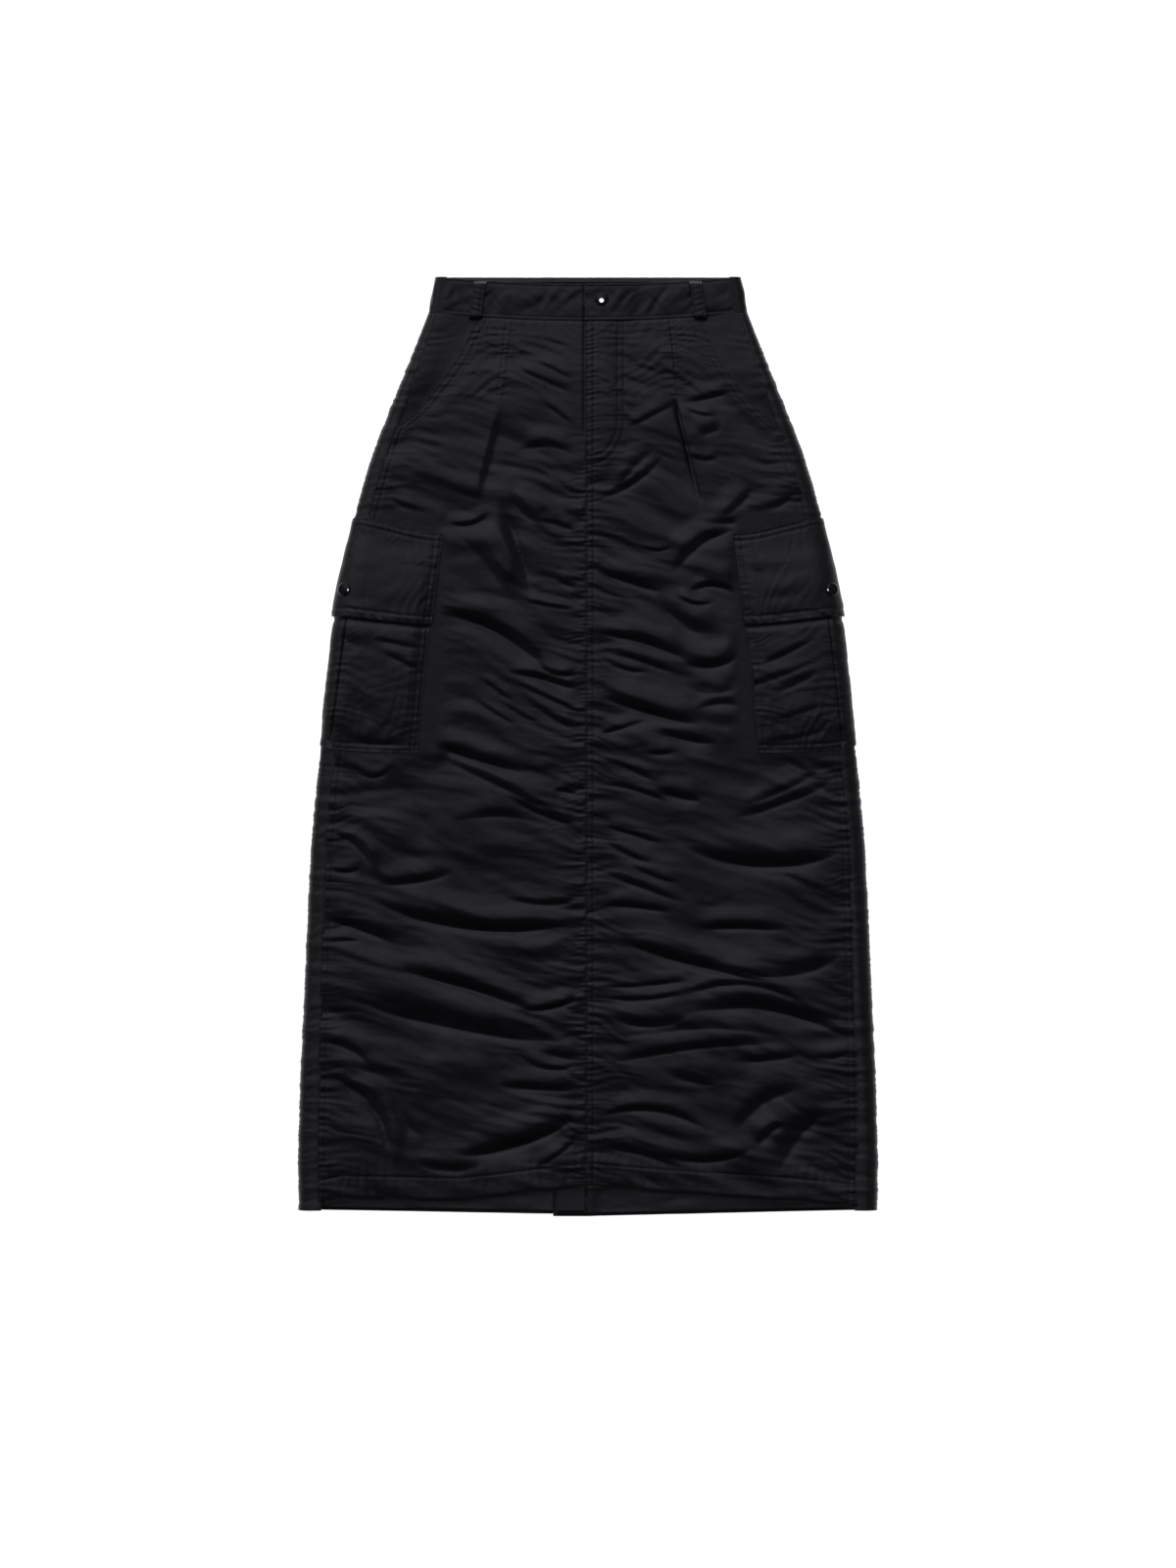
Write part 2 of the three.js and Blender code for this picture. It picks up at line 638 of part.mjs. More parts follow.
function snapCap(name, base, normal) {
  const profile = [new THREE.Vector2(0, 0), new THREE.Vector2(snapRadius - snapEdge, 0)];
  for (const degrees of [0, 20, 42, 66]) {
    const angle = THREE.MathUtils.degToRad(degrees);
    const height = snapEdge + (snapHeight - snapEdge) * Math.sin(angle);
    profile.push(new THREE.Vector2(snapRadius * Math.cos(angle), height));
  }
  profile.push(new THREE.Vector2(0, snapHeight));
  const mesh = new THREE.Mesh(new THREE.LatheGeometry(profile, 16), blackMetal);
  mesh.name = name;
  mesh.quaternion.setFromUnitVectors(new THREE.Vector3(0, 1, 0), normal);
  mesh.position.copy(base).addScaledVector(normal, seamGap);
  return mesh;
}

const waistSnap = { reach: 14.6, drop: 24 };
const flapSnapDrop = 333;

function waistSnapCap() {
  const base = frontPoint(1, waistSnap.reach, waistSnap.drop, bandRaise);
  return snapCap('snap_waist', base, new THREE.Vector3(0, 0, 1));
}

// The flap's snap sits in the middle of the flap's first turn down at the side.
function flapSnapCap(side) {
  const onFlap = (round, drop) => hoopPoint(side, round, drop, seamGap + flapStand({ round }) + clothWall);
  const [first, second] = roundSteps;
  const base = onFlap(first, flapSnapDrop).lerp(onFlap(second, flapSnapDrop), 0.5);
  const across = onFlap(second, flapSnapDrop).sub(onFlap(first, flapSnapDrop));
  const down = onFlap(first, flapSnapDrop + 10).sub(onFlap(first, flapSnapDrop - 10));
  const normal = across.cross(down).normalize();
  if (normal.z < 0) {
    normal.negate();
  }
  return snapCap(`snap_flap_${sideName(side)}`, base, normal);
}

const skirt = new THREE.Group();
skirt.name = 'cargo_utility_skirt';
skirt.add(backBand());
for (const side of [-1, 1]) {
  skirt.add(frontPanel(side), backPanel(side), hipFacing(side), frontBand(side), beltLoop(side));
  skirt.add(cargoPocket(side), pocketFlap(side), flapSnapCap(side));
}
skirt.add(waistSnapCap());

export default skirt;
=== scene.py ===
"""Looks of the cargo utility skirt: black nylon satin, laid flat with its front up.

Lengths are millimetres until a mesh is made. X runs across the skirt, Y towards the waist and
Z up. A drop is a distance down from the top of the back waistband, and reach is a distance
from the middle line, so a place on the skirt is (side, reach, drop) with side -1 or 1.
"""
from types import SimpleNamespace

import bpy
import numpy as np
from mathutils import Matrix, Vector


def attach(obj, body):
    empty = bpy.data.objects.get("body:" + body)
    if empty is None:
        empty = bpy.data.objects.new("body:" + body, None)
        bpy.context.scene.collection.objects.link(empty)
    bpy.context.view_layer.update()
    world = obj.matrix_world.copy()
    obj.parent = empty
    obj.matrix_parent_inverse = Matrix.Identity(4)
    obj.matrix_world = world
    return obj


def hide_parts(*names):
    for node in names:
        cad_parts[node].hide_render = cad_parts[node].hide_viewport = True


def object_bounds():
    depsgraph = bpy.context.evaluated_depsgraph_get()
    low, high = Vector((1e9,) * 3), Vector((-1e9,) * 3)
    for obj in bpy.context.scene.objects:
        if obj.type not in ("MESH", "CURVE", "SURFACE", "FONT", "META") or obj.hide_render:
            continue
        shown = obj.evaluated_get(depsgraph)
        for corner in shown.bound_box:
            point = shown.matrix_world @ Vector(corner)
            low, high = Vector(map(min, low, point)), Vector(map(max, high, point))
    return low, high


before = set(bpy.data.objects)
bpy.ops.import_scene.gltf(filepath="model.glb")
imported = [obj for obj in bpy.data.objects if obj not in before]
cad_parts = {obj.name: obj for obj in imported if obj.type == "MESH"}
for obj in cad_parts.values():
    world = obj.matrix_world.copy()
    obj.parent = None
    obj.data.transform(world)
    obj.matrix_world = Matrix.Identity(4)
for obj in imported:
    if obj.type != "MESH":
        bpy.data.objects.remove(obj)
cad_low, cad_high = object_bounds()

MM = 0.001
LENGTH = (cad_high.y - cad_low.y) / MM

# How the photograph was taken: straight from above with a long lens, over PHOTO_MIDDLE.
PHOTO_MM_PER_PIXEL = 1.045
PHOTO_PIXELS = (1200, 1600)
LENS_MM = 100
SENSOR_MM = 36
PHOTO_MIDDLE = (0, -39.5)

# Walls of the single cloth, the waistband and the belt loops, and the gap kept at a seam.
CLOTH_WALL = 1.5
BAND_WALL = 2.2
LOOP_WALL = 1.6
SEAM_GAP = 0.3

# Waistband and fly
BAND_HEIGHT = 38
WAIST_DIP = 7
WAIST_DIP_REACH = 152
WAIST_TOP_SIDE = 1
WAIST_EXTRA = 0.8
FLY_OVERLAP = 20
FLY_EDGE = 2.5
FLY_RAISE = 1.9
FLY_BOTTOM = 165
MIDDLE_SEAM = 2
BAND_OVERLAP = 30
BAND_RAISE = 2.55

# Sides, pleats, pockets and flaps. The side turns in underneath over a share of its turn in
# front, and stands out furthest at a share of its height. Pairs are at the inner end and at
# the side, or at the top and at the bottom.
UNDER_TURN_SHARE = 0.6
SIDE_MIDDLE_SHARE = 0.42
PLEAT_TOP = 126
PLEAT_BOTTOM = 252
PLEAT_EDGE = 0.7
POCKET_MOUTH = 303
POCKET_BOTTOM_FRONT = 506
POCKET_BOTTOM_SIDE = 497
POCKET_HEIGHT = POCKET_BOTTOM_FRONT - POCKET_MOUTH
POCKET_WELL = 4
UNDER_POCKET_LIFT = 3.6
SLANT_BOTTOM = 162
SLANT_SLOPE = 0.78
FLAP_TOP = (274, 257)
FLAP_BOTTOM = (370, 361)
FLAP_INNER = (154, 166)
FLAP_BACK_REACH = 170
POCKET_BACK_REACH = 196
FLAP_FRONT_WIDTH = 87
FLAP_HEIGHT = FLAP_BOTTOM[0] - FLAP_TOP[0]
FLAP_HEM = 8

# Hem, its stitched row's distance from it, and the back's vent
HEM_STITCH = 25
BACK_HEM_MIDDLE = 998
BACK_HEM_SIDE = 993
VENT_TOP = 750
VENT_OVERLAP = 37

# Sewing: length of a stitch, its thread, the room between the two rows of a seam, and where
# the rows lie: beside a seam, inside a pocket's or flap's edge, beside a pleat's line, and as
# shares of a band's height and of a belt loop's width
STITCH = 3.0
THREAD = 0.55
ROW_ROOM = 6.0
SEAM_ROWS = (2, 2 + ROW_ROOM)
EDGE_ROWS = (1.6, 1.6 + ROW_ROOM)
PLEAT_ROWS = (-2.6, 2.6)
BAND_ROWS = (0.06, 0.94)
LOOP_ROWS = (-0.3, 0.3)

# Seeds of the random shapes, left and right
SEEDS = {"front": (200, 300), "back": (600, 700), "facing": (810, 820), "band": (900, 910),
         "pocket": (1000, 1010), "flap": (1100, 1110)}


def table(names, rows):
    """Named columns of a table, each as an array."""
    return {name: np.array(column, float) for name, column in zip(names, zip(*rows))}


# Cross sections: half the width, how far in the side seam lies, width of the soft turn at the
# side, and height of the front.
SECTIONS = table(("drop", "half", "seam", "turn", "height"), [
    (0, 163, 10, 8, 11.5),
    (38, 170, 10, 9, 11.5),
    (60, 178.5, 11, 10, 13),
    (100, 194.5, 12, 12, 16),
    (142, 211.5, 13.5, 14, 17),
    (184, 228, 14.5, 16, 17.5),
    (226, 241, 15, 18, 18),
    (258, 249, 15, 20, 18),
    (309, 259.5, 15, 22, 18),
    (351, 267.5, 15, 22, 18),
    (393, 273, 15, 22, 18),
    (435, 277.5, 15, 22, 18),
    (503, 284.5, 15, 20, 18),
    (530, 288, 15, 19, 17.5),
    (602, 294.7, 15, 18, 17),
    (685, 299, 16.5, 17, 17),
    (769, 302.5, 18, 16, 17),
    (853, 306.5, 20, 15, 16.5),
    (940, 309, 22, 15, 16),
    (1000, 308, 22, 14, 16),
])
PLEAT_LINE = table(("drop", "reach"), [(45, 84), (128, 93), (238, 120), (420, 128), (1000, 142)])
SLANT_LINE = table(("drop", "reach"), [
    (40, 114), (58, 124), (85, 137), (110, 154), (132, 171), (147, 185), (162, 204)])
FRONT_HEM = table(("x", "drop"), [
    (-306, 992), (-262, 981), (-136, 984), (-2, 968), (84, 975), (209, 983), (306, 992)])
POCKET_EDGE = table(("drop", "reach"), [(300, 161), (366, 168), (506, 181)])

# Spans of drop or reach: where something starts, is whole, starts to fade and ends
UNDER_LIFT_DOWN = (229, 253, 508, 533)
POCKET_COVER_DOWN = (238, 252, 506, 520)
POCKET_WELL_ACROSS = (176, 194, 226, 246)
POCKET_WELL_DOWN = (POCKET_MOUTH - 20, POCKET_MOUTH - 3, 478, 494)
DART_DOWN = (40, 52, PLEAT_TOP - 4, PLEAT_TOP + 8)

# The pleat that lets a cargo pocket open, down from under the flap, on the left and right
POCKET_PLEATS = (table(("drop", "reach"), [(372, 256), (490, 271)]),
                 table(("drop", "reach"), [(372, 254.5), (490, 268)]))

# How far a pocket and a flap stand off what they lie on, at places round their wrap: 0 to 1
# across the front, 1 to 3 round the side and 3 to 4 in under the skirt
POCKET_STAND = table(("wrap", "stand"), [
    (0, 0), (0.1, 1.35), (0.2, 2.7), (1, 2.7), (4 / 3, 2.15), (5 / 3, 1.15), (2, 0.6), (7 / 3, 0.6)])
FLAP_STAND = table(("wrap", "stand"), [
    (0, 2), (0.1, 3.3), (0.2, 4.6), (1, 4.6), (4 / 3, 4.08), (5 / 3, 3.12), (2, 2.6), (7 / 3, 2.6),
    (8 / 3, 1.8)])

# How each pleat's lower part stands open, left and right: the drop over which it opens, the
# width of its inner cloth's hollow, and the depth of the slit beside its edge
PLEAT_OPENINGS = ((60, 24, 0), (20, 17, 3.4))

# Creases pressed into the front, each along a shallow curve through three places. Across it
# the cloth climbs to a crest, falls over a shaded flank and comes level again.
# The columns are x0, drop0, x1, drop1, x2, drop2, flank, crest and valley.
BROAD_FOLDS = [
    (-212, 233, -190, 245, -150, 260, 6, 1.5, 2.5),
    (-82, 222, -72, 240, -48, 264, 8, 1.5, 2.2),
    (-62, 345, -80, 295, -100, 235, 12, 3, 4),
    (-142, 268, -110, 290, -85, 335, 14, 2.6, 1.5),
    (-158, 353, -98, 370, -38, 418, 12, 3.2, 4.6),
    (-88, 418, -50, 424, -4, 440, 7, 2, 2.6),
    (-72, 440, -40, 464, -4, 484, 6, 1.4, 1.8),
    (-182, 486, -125, 507, -60, 527, 9, 3, 3.6),
    (-170, 503, -100, 534, -6, 582, 8, 1.5, 2),
    (-150, 578, -95, 568, -20, 590, 10, 1, 1.2),
    (-178, 612, -200, 570, -225, 535, 28, 1.5, 1.8),
    (-278, 588, -246, 600, -224, 636, 7, 2, 2.2),
    (-228, 642, -190, 640, -140, 628, 9, 1.5, 1.6),
    (-242, 652, -150, 682, -3, 680, 14, 3.6, 4.6),
    (-290, 677, -250, 686, -200, 708, 10, 2, 3),
    (-208, 730, -140, 746, -48, 778, 13, 3, 4.6),
    (-262, 756, -150, 784, -12, 806, 22, 3, 4.8),
    (-288, 810, -255, 816, -228, 840, 7, 1.5, 2),
    (-284, 844, -228, 875, -208, 950, 10, 3, 3.6),
    (-100, 857, -60, 859, -5, 863, 8, 1.5, 2.2),
    (-150, 930, -85, 920, -6, 883, 13, 3, 4),
    (-188, 936, -160, 944, -110, 940, 10, 1.5, 2),
    (10, 234, 45, 218, 80, 187, 7, 1.5, 2),
    (112, 256, 155, 257, 228, 221, 9, 2, 2.6),
    (88, 316, 112, 284, 158, 266, 10, 2.6, 3),
    (6, 311, 40, 320, 82, 335, 8, 2, 2.6),
    (76, 332, 98, 358, 132, 381, 13, 2.4, 2.8),
    (8, 376, 55, 383, 112, 408, 10, 2.6, 3.6),
    (95, 403, 130, 410, 168, 390, 10, 2.6, 3),
    (10, 395, 55, 405, 102, 423, 7, 1.5, 2),
    (6, 439, 60, 457, 124, 476, 10, 2.6, 3.6),
    (112, 459, 145, 450, 176, 461, 8, 1.5, 2),
    (60, 478, 95, 486, 140, 494, 9, 2, 3),
    (70, 543, 95, 549, 122, 556, 8, 2, 2.5),
    (150, 574, 205, 556, 264, 531, 9, 1.5, 1.6),
    (90, 595, 165, 617, 280, 603, 15, 3, 4.2),
    (14, 630, 55, 645, 106, 665, 7, 1.5, 1.8),
    (110, 690, 165, 688, 216, 692, 9, 2, 2.5),
    (26, 699, 110, 725, 218, 748, 11, 3, 3.6),
    (140, 725, 200, 735, 278, 711, 15, 2, 2.6),
    (93, 765, 150, 748, 238, 775, 9, 2, 2.5),
    (95, 779, 160, 768, 285, 808, 17, 3, 4.6),
    (10, 837, 90, 819, 218, 812, 9, 1.5, 1.6),
    (10, 891, 78, 884, 132, 909, 8, 2, 2.5),
    (66, 924, 115, 937, 180, 922, 8, 2, 2.2),
    (196, 950, 212, 912, 252, 879, 20, 2.5, 3),
]
FINE_FOLDS = [
    (-82, 92, -50, 106, -12, 124, 6, 0.8, 1.2),
    (-60, 88, -35, 98, -12, 112, 4, 0.8, 1),
    (-95, 58, -60, 62, -8, 76, 5, 0.8, 1),
    (-50, 130, -30, 145, -10, 160, 4, 0.8, 1),
    (-75, 183, -45, 176, -8, 190, 8, 1.5, 1),
    (-55, 258, -30, 262, -8, 272, 5, 1, 1.2),
    (-150, 260, -125, 262, -103, 248, 5, 1.5, 2),
    (-35, 320, -20, 326, -5, 330, 5, 1.2, 1.5),
    (-75, 340, -50, 347, -5, 352, 4, 1, 1),
    (-60, 404, -35, 420, -4, 419, 5, 1.5, 2),
    (-114, 424, -96, 439, -78, 452, 3, 1, 1.5),
    (-78, 430, -40, 447, -4, 463, 4, 1.2, 1.5),
    (-95, 448, -75, 462, -50, 474, 3.5, 1, 1.2),
    (-122, 447, -98, 463, -72, 479, 3, 1, 1.2),
    (-90, 546, -55, 566, -5, 583, 6, 1.5, 2.5),
    (-38, 544, -20, 546, -4, 550, 5, 1.5, 2),
    (-252, 515, -233, 530, -205, 515, 4, 1, 1),
    (-278, 624, -258, 631, -240, 626, 5, 1.2, 1.5),
    (-95, 655, -45, 664, -4, 659, 7, 1.5, 2),
    (-288, 710, -262, 704, -240, 706, 4, 1, 1.2),
    (-75, 776, -45, 776, -4, 760, 6, 2, 3),
    (-75, 822, -50, 838, -8, 836, 5, 1.5, 1.5),
    (-52, 819, -30, 826, -4, 829, 7, 1.5, 2),
    (-180, 845, -140, 850, -95, 862, 40, 1.5, 1.5),
    (-205, 868, -190, 895, -172, 915, 10, 1, 1.5),
    (-235, 958, -222, 970, -205, 982, 8, 1.5, 2),
    (-60, 948, -30, 930, -5, 905, 4, 1, 1),
    (40, 160, 65, 147, 94, 132, 5, 1, 1),
    (30, 222, 50, 196, 68, 182, 8, 1.5, 1.5),
    (98, 133, 125, 127, 155, 119, 6, 1.2, 1.5),
    (100, 137, 118, 145, 138, 147, 4, 1, 1),
    (112, 164, 126, 160, 142, 154, 12, 1.5, 1.5),
    (105, 185, 122, 193, 140, 190, 5, 1, 1),
    (140, 253, 158, 240, 172, 222, 9, 1.5, 2.5),
    (55, 285, 70, 290, 90, 286, 3, 0.8, 1),
    (104, 336, 135, 326, 160, 338, 6, 1.5, 2),
    (92, 334, 108, 345, 134, 345, 4, 1.5, 1.5),
    (100, 428, 135, 436, 172, 420, 12, 1.5, 1.5),
    (16, 404, 35, 414, 65, 419, 5, 1.2, 1.5),
    (10, 486, 35, 478, 62, 471, 5, 1.2, 1.5),
    (60, 505, 80, 505, 95, 503, 5, 1, 1),
    (14, 510, 40, 519, 75, 538, 5, 1.2, 1.5),
    (10, 538, 45, 542, 90, 560, 5, 1.2, 1.5),
    (160, 560, 200, 545, 250, 520, 8, 1.2, 1.2),
    (12, 580, 45, 590, 80, 602, 5, 1.5, 1.5),
    (18, 598, 42, 612, 72, 624, 5, 1.2, 1.5),
    (40, 622, 70, 635, 100, 645, 5, 1.2, 1.2),
    (14, 666, 50, 667, 92, 674, 7, 1.5, 2),
    (22, 782, 60, 790, 110, 780, 12, 2, 2),
    (50, 806, 130, 794, 210, 806, 9, 1.2, 1.2),
    (10, 753, 55, 752, 108, 745, 5, 1.2, 1.5),
    (14, 765, 55, 766, 110, 757, 6, 1.2, 1.5),
    (150, 830, 190, 829, 232, 822, 8, 1.5, 1.5),
    (240, 825, 260, 828, 280, 822, 5, 1, 1),
    (80, 840, 112, 849, 142, 856, 12, 1.5, 1.5),
    (178, 925, 190, 907, 208, 897, 8, 2, 2.5),
    (150, 910, 172, 880, 228, 858, 14, 1.5, 2),
    (14, 922, 55, 928, 108, 950, 9, 1.5, 2),
    (55, 952, 72, 962, 88, 974, 5, 1, 1.5),
]
POCKET_FOLDS = [
    (-232, 383, -205, 388, -178, 395, 5, 0.7, 1),
    (-222, 395, -195, 408, -176, 418, 6, 0.8, 1.1),
    (-262, 372, -250, 382, -236, 392, 12, 0.5, 1.3),
    (-246, 432, -226, 462, -212, 478, 16, 0.5, 1.2),
    (-255, 488, -225, 494, -190, 490, 6, 0.6, 0.8),
    (112, 448, 185, 428, 245, 405, 7, 0.8, 1.1),
    (180, 414, 210, 398, 240, 384, 6, 0.8, 1.1),
    (192, 440, 216, 430, 246, 416, 9, 0.5, 1.4),
    (196, 470, 222, 462, 250, 452, 6, 0.6, 0.7),
    (186, 492, 220, 488, 252, 480, 5, 0.5, 0.7),
]


def seed_for(part, side):
    """Seed of a part's random shapes on one side."""
    return SEEDS[part][int(side > 0)]


def section(name, drop):
    """One column of the cross sections, straight between the rows."""
    return np.interp(drop, SECTIONS["drop"], SECTIONS[name])


def line_reach(line, drop):
    """Reach of a line that runs down the skirt."""
    return np.interp(drop, line["drop"], line["reach"])


def rise(start, end, value):
    """A soft step: 0 up to start, 1 from end on, and an even S curve between."""
    share = np.clip((value - start) / (end - start), 0, 1)
    return share * share * (3 - 2 * share)


def plateau(span, value):
    """1 over the middle of a span and 0 outside it, with an S curve at each end."""
    start, whole, fade, end = span
    return rise(start, whole, value) * (1 - rise(fade, end, value))


def mix(start, end, share):
    """The value at a share of the way from start to end."""
    return start + (end - start) * share


def wiggle(place, seed):
    """An uneven wave: at whole numbers its height is random and changes sign each time, and
    an S curve joins the heights."""
    heights = np.random.default_rng(seed).uniform(0.3, 1.0, 1024)
    heights[1::2] *= -1
    whole = np.floor(place).astype(int)
    share = rise(0, 1, place - whole)
    return mix(heights[whole % 1024], heights[(whole + 1) % 1024], share)


def patches(across, down, seed):
    """Soft random patches from -1 to 1: random heights at whole numbers both ways, joined by
    S curves."""
    heights = np.random.default_rng(seed).uniform(-1, 1, (128, 128))
    column, row = np.floor(across).astype(int), np.floor(down).astype(int)
    share_across = rise(0, 1, across - column)
    share_down = rise(0, 1, down - row)
    above = mix(heights[row % 128, column % 128], heights[row % 128, (column + 1) % 128],
                share_across)
    below = mix(heights[(row + 1) % 128, column % 128],
                heights[(row + 1) % 128, (column + 1) % 128], share_across)
    return mix(above, below, share_down)


def seam_reach(drop):
    """Reach of the side seam, which lies on the front a little inside the skirt's edge."""
    return section("half", drop) - section("seam", drop)


def flat_reach(drop):
    """Reach at which the front starts to turn down the side."""
    return section("half", drop) - section("turn", drop)


def under_flat_reach(drop):
    """Reach at which the back starts to lie flat."""
    return section("half", drop) - section("turn", drop) * UNDER_TURN_SHARE


def waist_sag(x):
    """The front waist hangs lower than the back one: 1 in the middle, 0 at the sides, along
    an upside-down parabola."""
    return np.clip(1 - (x / WAIST_DIP_REACH) ** 2, 0, 1)


def band_top(x):
    """Drop of the front waistband's top edge."""
    return WAIST_TOP_SIDE + WAIST_DIP * waist_sag(x)


def band_bottom(x):
    """Drop of the front waistband's lower edge."""
    return BAND_HEIGHT + (WAIST_DIP + WAIST_EXTRA) * waist_sag(x)


def front_hem(x):
    """Drop of the front hem."""
    return np.interp(x, FRONT_HEM["x"], FRONT_HEM["drop"])


def under_lift(reach, drop):
    """The back is lifted a little where a pocket and its flap lie folded under it: a plateau
    with soft edges across and down."""
    across = rise(FLAP_BACK_REACH - 28, FLAP_BACK_REACH - 3, reach)
    return UNDER_POCKET_LIFT * across * plateau(UNDER_LIFT_DOWN, drop)


def hoop(side, place, drop, lift):
    """Points of the skirt's outer face, moved out by lift. Across, the face is flat in front
    (place 0 to 1), turns down the side on two quarter ellipses (1 to 2 to 3) and is flat
    underneath (3 to 4)."""
    place, drop, lift = np.broadcast_arrays(place, np.asarray(drop, float), lift)
    half, turn, height = (section(name, drop) for name in ("half", "turn", "height"))
    under_flat = half - turn * UNDER_TURN_SHARE
    floor = under_lift(under_flat, drop)
    middle = mix(floor, height, SIDE_MIDDLE_SHARE)
    upper = place < 2
    wide = np.where(upper, turn, turn * UNDER_TURN_SHARE)
    tall = np.where(upper, height - middle, middle - floor)
    angle = (2 - place) * np.pi / 2
    steep = np.hypot(np.cos(angle) / wide, np.sin(angle) / tall)
    on_front, on_back = place <= 1, place > 3
    flat = [on_front, on_back]
    reach = np.select(flat, [(half - turn) * place, under_flat * (4 - place)],
                      half - wide + wide * np.cos(angle))
    level = np.select(flat, [height, under_lift(reach, drop)], middle + tall * np.sin(angle))
    out = np.where(on_front | on_back, 0, np.cos(angle) / wide / steep)
    up = np.select(flat, [1, -1], np.sin(angle) / tall / steep)
    return np.stack([side * (reach + out * lift), LENGTH / 2 - drop, level + up * lift], -1)


def place_at(reach, drop):
    """Place on the hoop of a reach on the front: a share of the flat, or an angle of the
    turn."""
    flat = flat_reach(drop)
    turned = np.clip((reach - flat) / section("turn", drop), 0, 1)
    return np.where(reach <= flat, reach / flat, 2 - np.arccos(turned) / (np.pi / 2))


def place_under(reach, drop):
    """Place on the hoop of a reach on the back."""
    return 4 - reach / under_flat_reach(drop)


def fold_heights(rows, x, drop):
    """Height that a table of creases gives each place. Along a crease the share runs 0 to 1,
    and a parabola bends it through its middle place. Across it the height eases up to the
    crest, falls over the flank, steepest near its foot, and comes up again, at first quickly.
    It fades at both ends."""
    total = np.zeros(np.broadcast(x, drop).shape)
    for x0, drop0, x1, drop1, x2, drop2, flank, crest, valley in rows:
        span_x, span_drop = x2 - x0, drop2 - drop0
        span = np.hypot(span_x, span_drop)
        along = ((x - x0) * span_x + (drop - drop0) * span_drop) / span ** 2
        across = ((drop - drop0) * span_x - (x - x0) * span_drop) / span
        bend_along = ((x1 - x0) * span_x + (drop1 - drop0) * span_drop) / span ** 2
        bend_across = ((drop1 - drop0) * span_x - (x1 - x0) * span_drop) / span
        bow = bend_across / (bend_along * (1 - bend_along))
        near = (along > 0) & (along < 1) & (np.abs(across) < 6 * flank + span / 2)
        share = along[near]
        offset = across[near] - bow * share * (1 - share)
        ends = np.minimum(share, 1 - share)
        half = flank * (0.4 + 0.25 * rise(0, 0.3, ends))
        apron = half * 2.2 + 5
        climb = crest * rise(-half - apron, -half, offset)
        fall = mix(crest, -valley, rise(-half, half * 1.25, offset) ** 1.3)
        bottom = mix(crest, -valley, rise(-half, half * 1.25, half) ** 1.3)
        past = np.maximum(offset - half, 0)
        slow = (1 - np.minimum(past / apron, 1)) ** 2
        quick = (1 - np.minimum(past / (0.2 * apron + 1.5), 1)) ** 2
        level = bottom * mix(slow, quick, 0.35)
        height = np.where(offset < -half, climb, np.where(offset < half, fall, level))
        total[near] += height * rise(0, 0.36, ends)
    return total


def cascade(along, away, waves, seed):
    """Puckers that start at a seam: for each wave size an uneven wave along the seam that
    fades with the distance away from it, small waves first, each pucker to its own strength and
    length. Away from the seam the puckers bend by their lean and wander from a straight line."""
    total = 0
    for number, (size, height, lean) in enumerate(waves):
        wander = 0.9 * size * patches(along / (2.4 * size), away / (3.2 * size), seed + 40 + number)
        row = along + lean * away ** 2 / (away + 3 * size) + wander
        length = 3.4 * size * (1 + 0.7 * wiggle(row / (1.3 * size), seed + 80 + number))
        strength = 0.62 + 0.38 * wiggle(row / (2.7 * size), seed + 120 + number)
        wave = wiggle(2 * row / size, seed + number)
        total = total + height * strength * wave * np.exp(-away / length)
    return total


def rungs(along, seed):
    """Short ridges between two stitched rows, uneven in their spacing and strength."""
    place = 2 * (along + 3 * wiggle(along / 21, seed + 1)) / RUNG
    return (0.2 + 0.15 * wiggle(along / 13, seed + 2)) * wiggle(place, seed)


def leaning(waves, way):
    """The waves with their lean turned one way or the other."""
    return [(size, height, lean * way) for size, height, lean in waves]


def groove(distance, depth=0.4, width=1.3):
    """A stitched line presses the cloth in: a bell curve of the distance from it."""
    return -depth * np.exp(-(distance / width) ** 2)


# Waves of the shirring: wave length, height and lean of each size. The folds run down towards
# the right, so away from the middle seam they rise on the left panel and fall on the right one.
MIDDLE_WAVES = [(6.5, 0.34, 0.2), (10.5, 0.62, 0.4), (21, 1.0, 0.55), (40, 1.1, 0.6)]
SIDE_WAVES = [(7, 0.3, 0.2), (12, 0.55, 0.4), (25, 0.8, 0.5)]
EDGE_WAVES = [(5.5, 0.16, 0.4), (11, 0.3, -0.5)]
FLAP_HEM_WAVES = [(5.5, 0.16, 0.5), (12, 0.3, -0.6)]
# Spacing of the rungs between stitched rows, and the curve of the fly's stitching
RUNG = 5.5
FLY_ROWS = (-6.0, 0.0)
FLY_X = 38
FLY_CURVE_TOP = 150
FLY_CURVE_BOTTOM = 200
FLY_CURVE_INNER = 3


def slant_distance(reach, drop):
    """How far a place lies inside the slanted cut of the hip pocket, square to it, and below
    the slant its distance from the slant's foot at the side seam."""
    above = (line_reach(SLANT_LINE, drop) - reach) * SLANT_SLOPE
    below = np.hypot(np.maximum(drop - SLANT_BOTTOM, 0), seam_reach(drop) - reach)
    return np.where(drop > SLANT_BOTTOM, below, above)


def fly_distance(x, drop):
    """Distance inside the curve of the fly's stitching: straight down, then a quarter ellipse
    towards the middle seam."""
    wide = FLY_X - FLY_CURVE_INNER
    tall = FLY_CURVE_BOTTOM - FLY_CURVE_TOP
    curved = (1 - np.hypot((x - FLY_CURVE_INNER) / wide, (drop - FLY_CURVE_TOP) / tall)) * wide
    return np.where(drop < FLY_CURVE_TOP, FLY_X - x, curved)


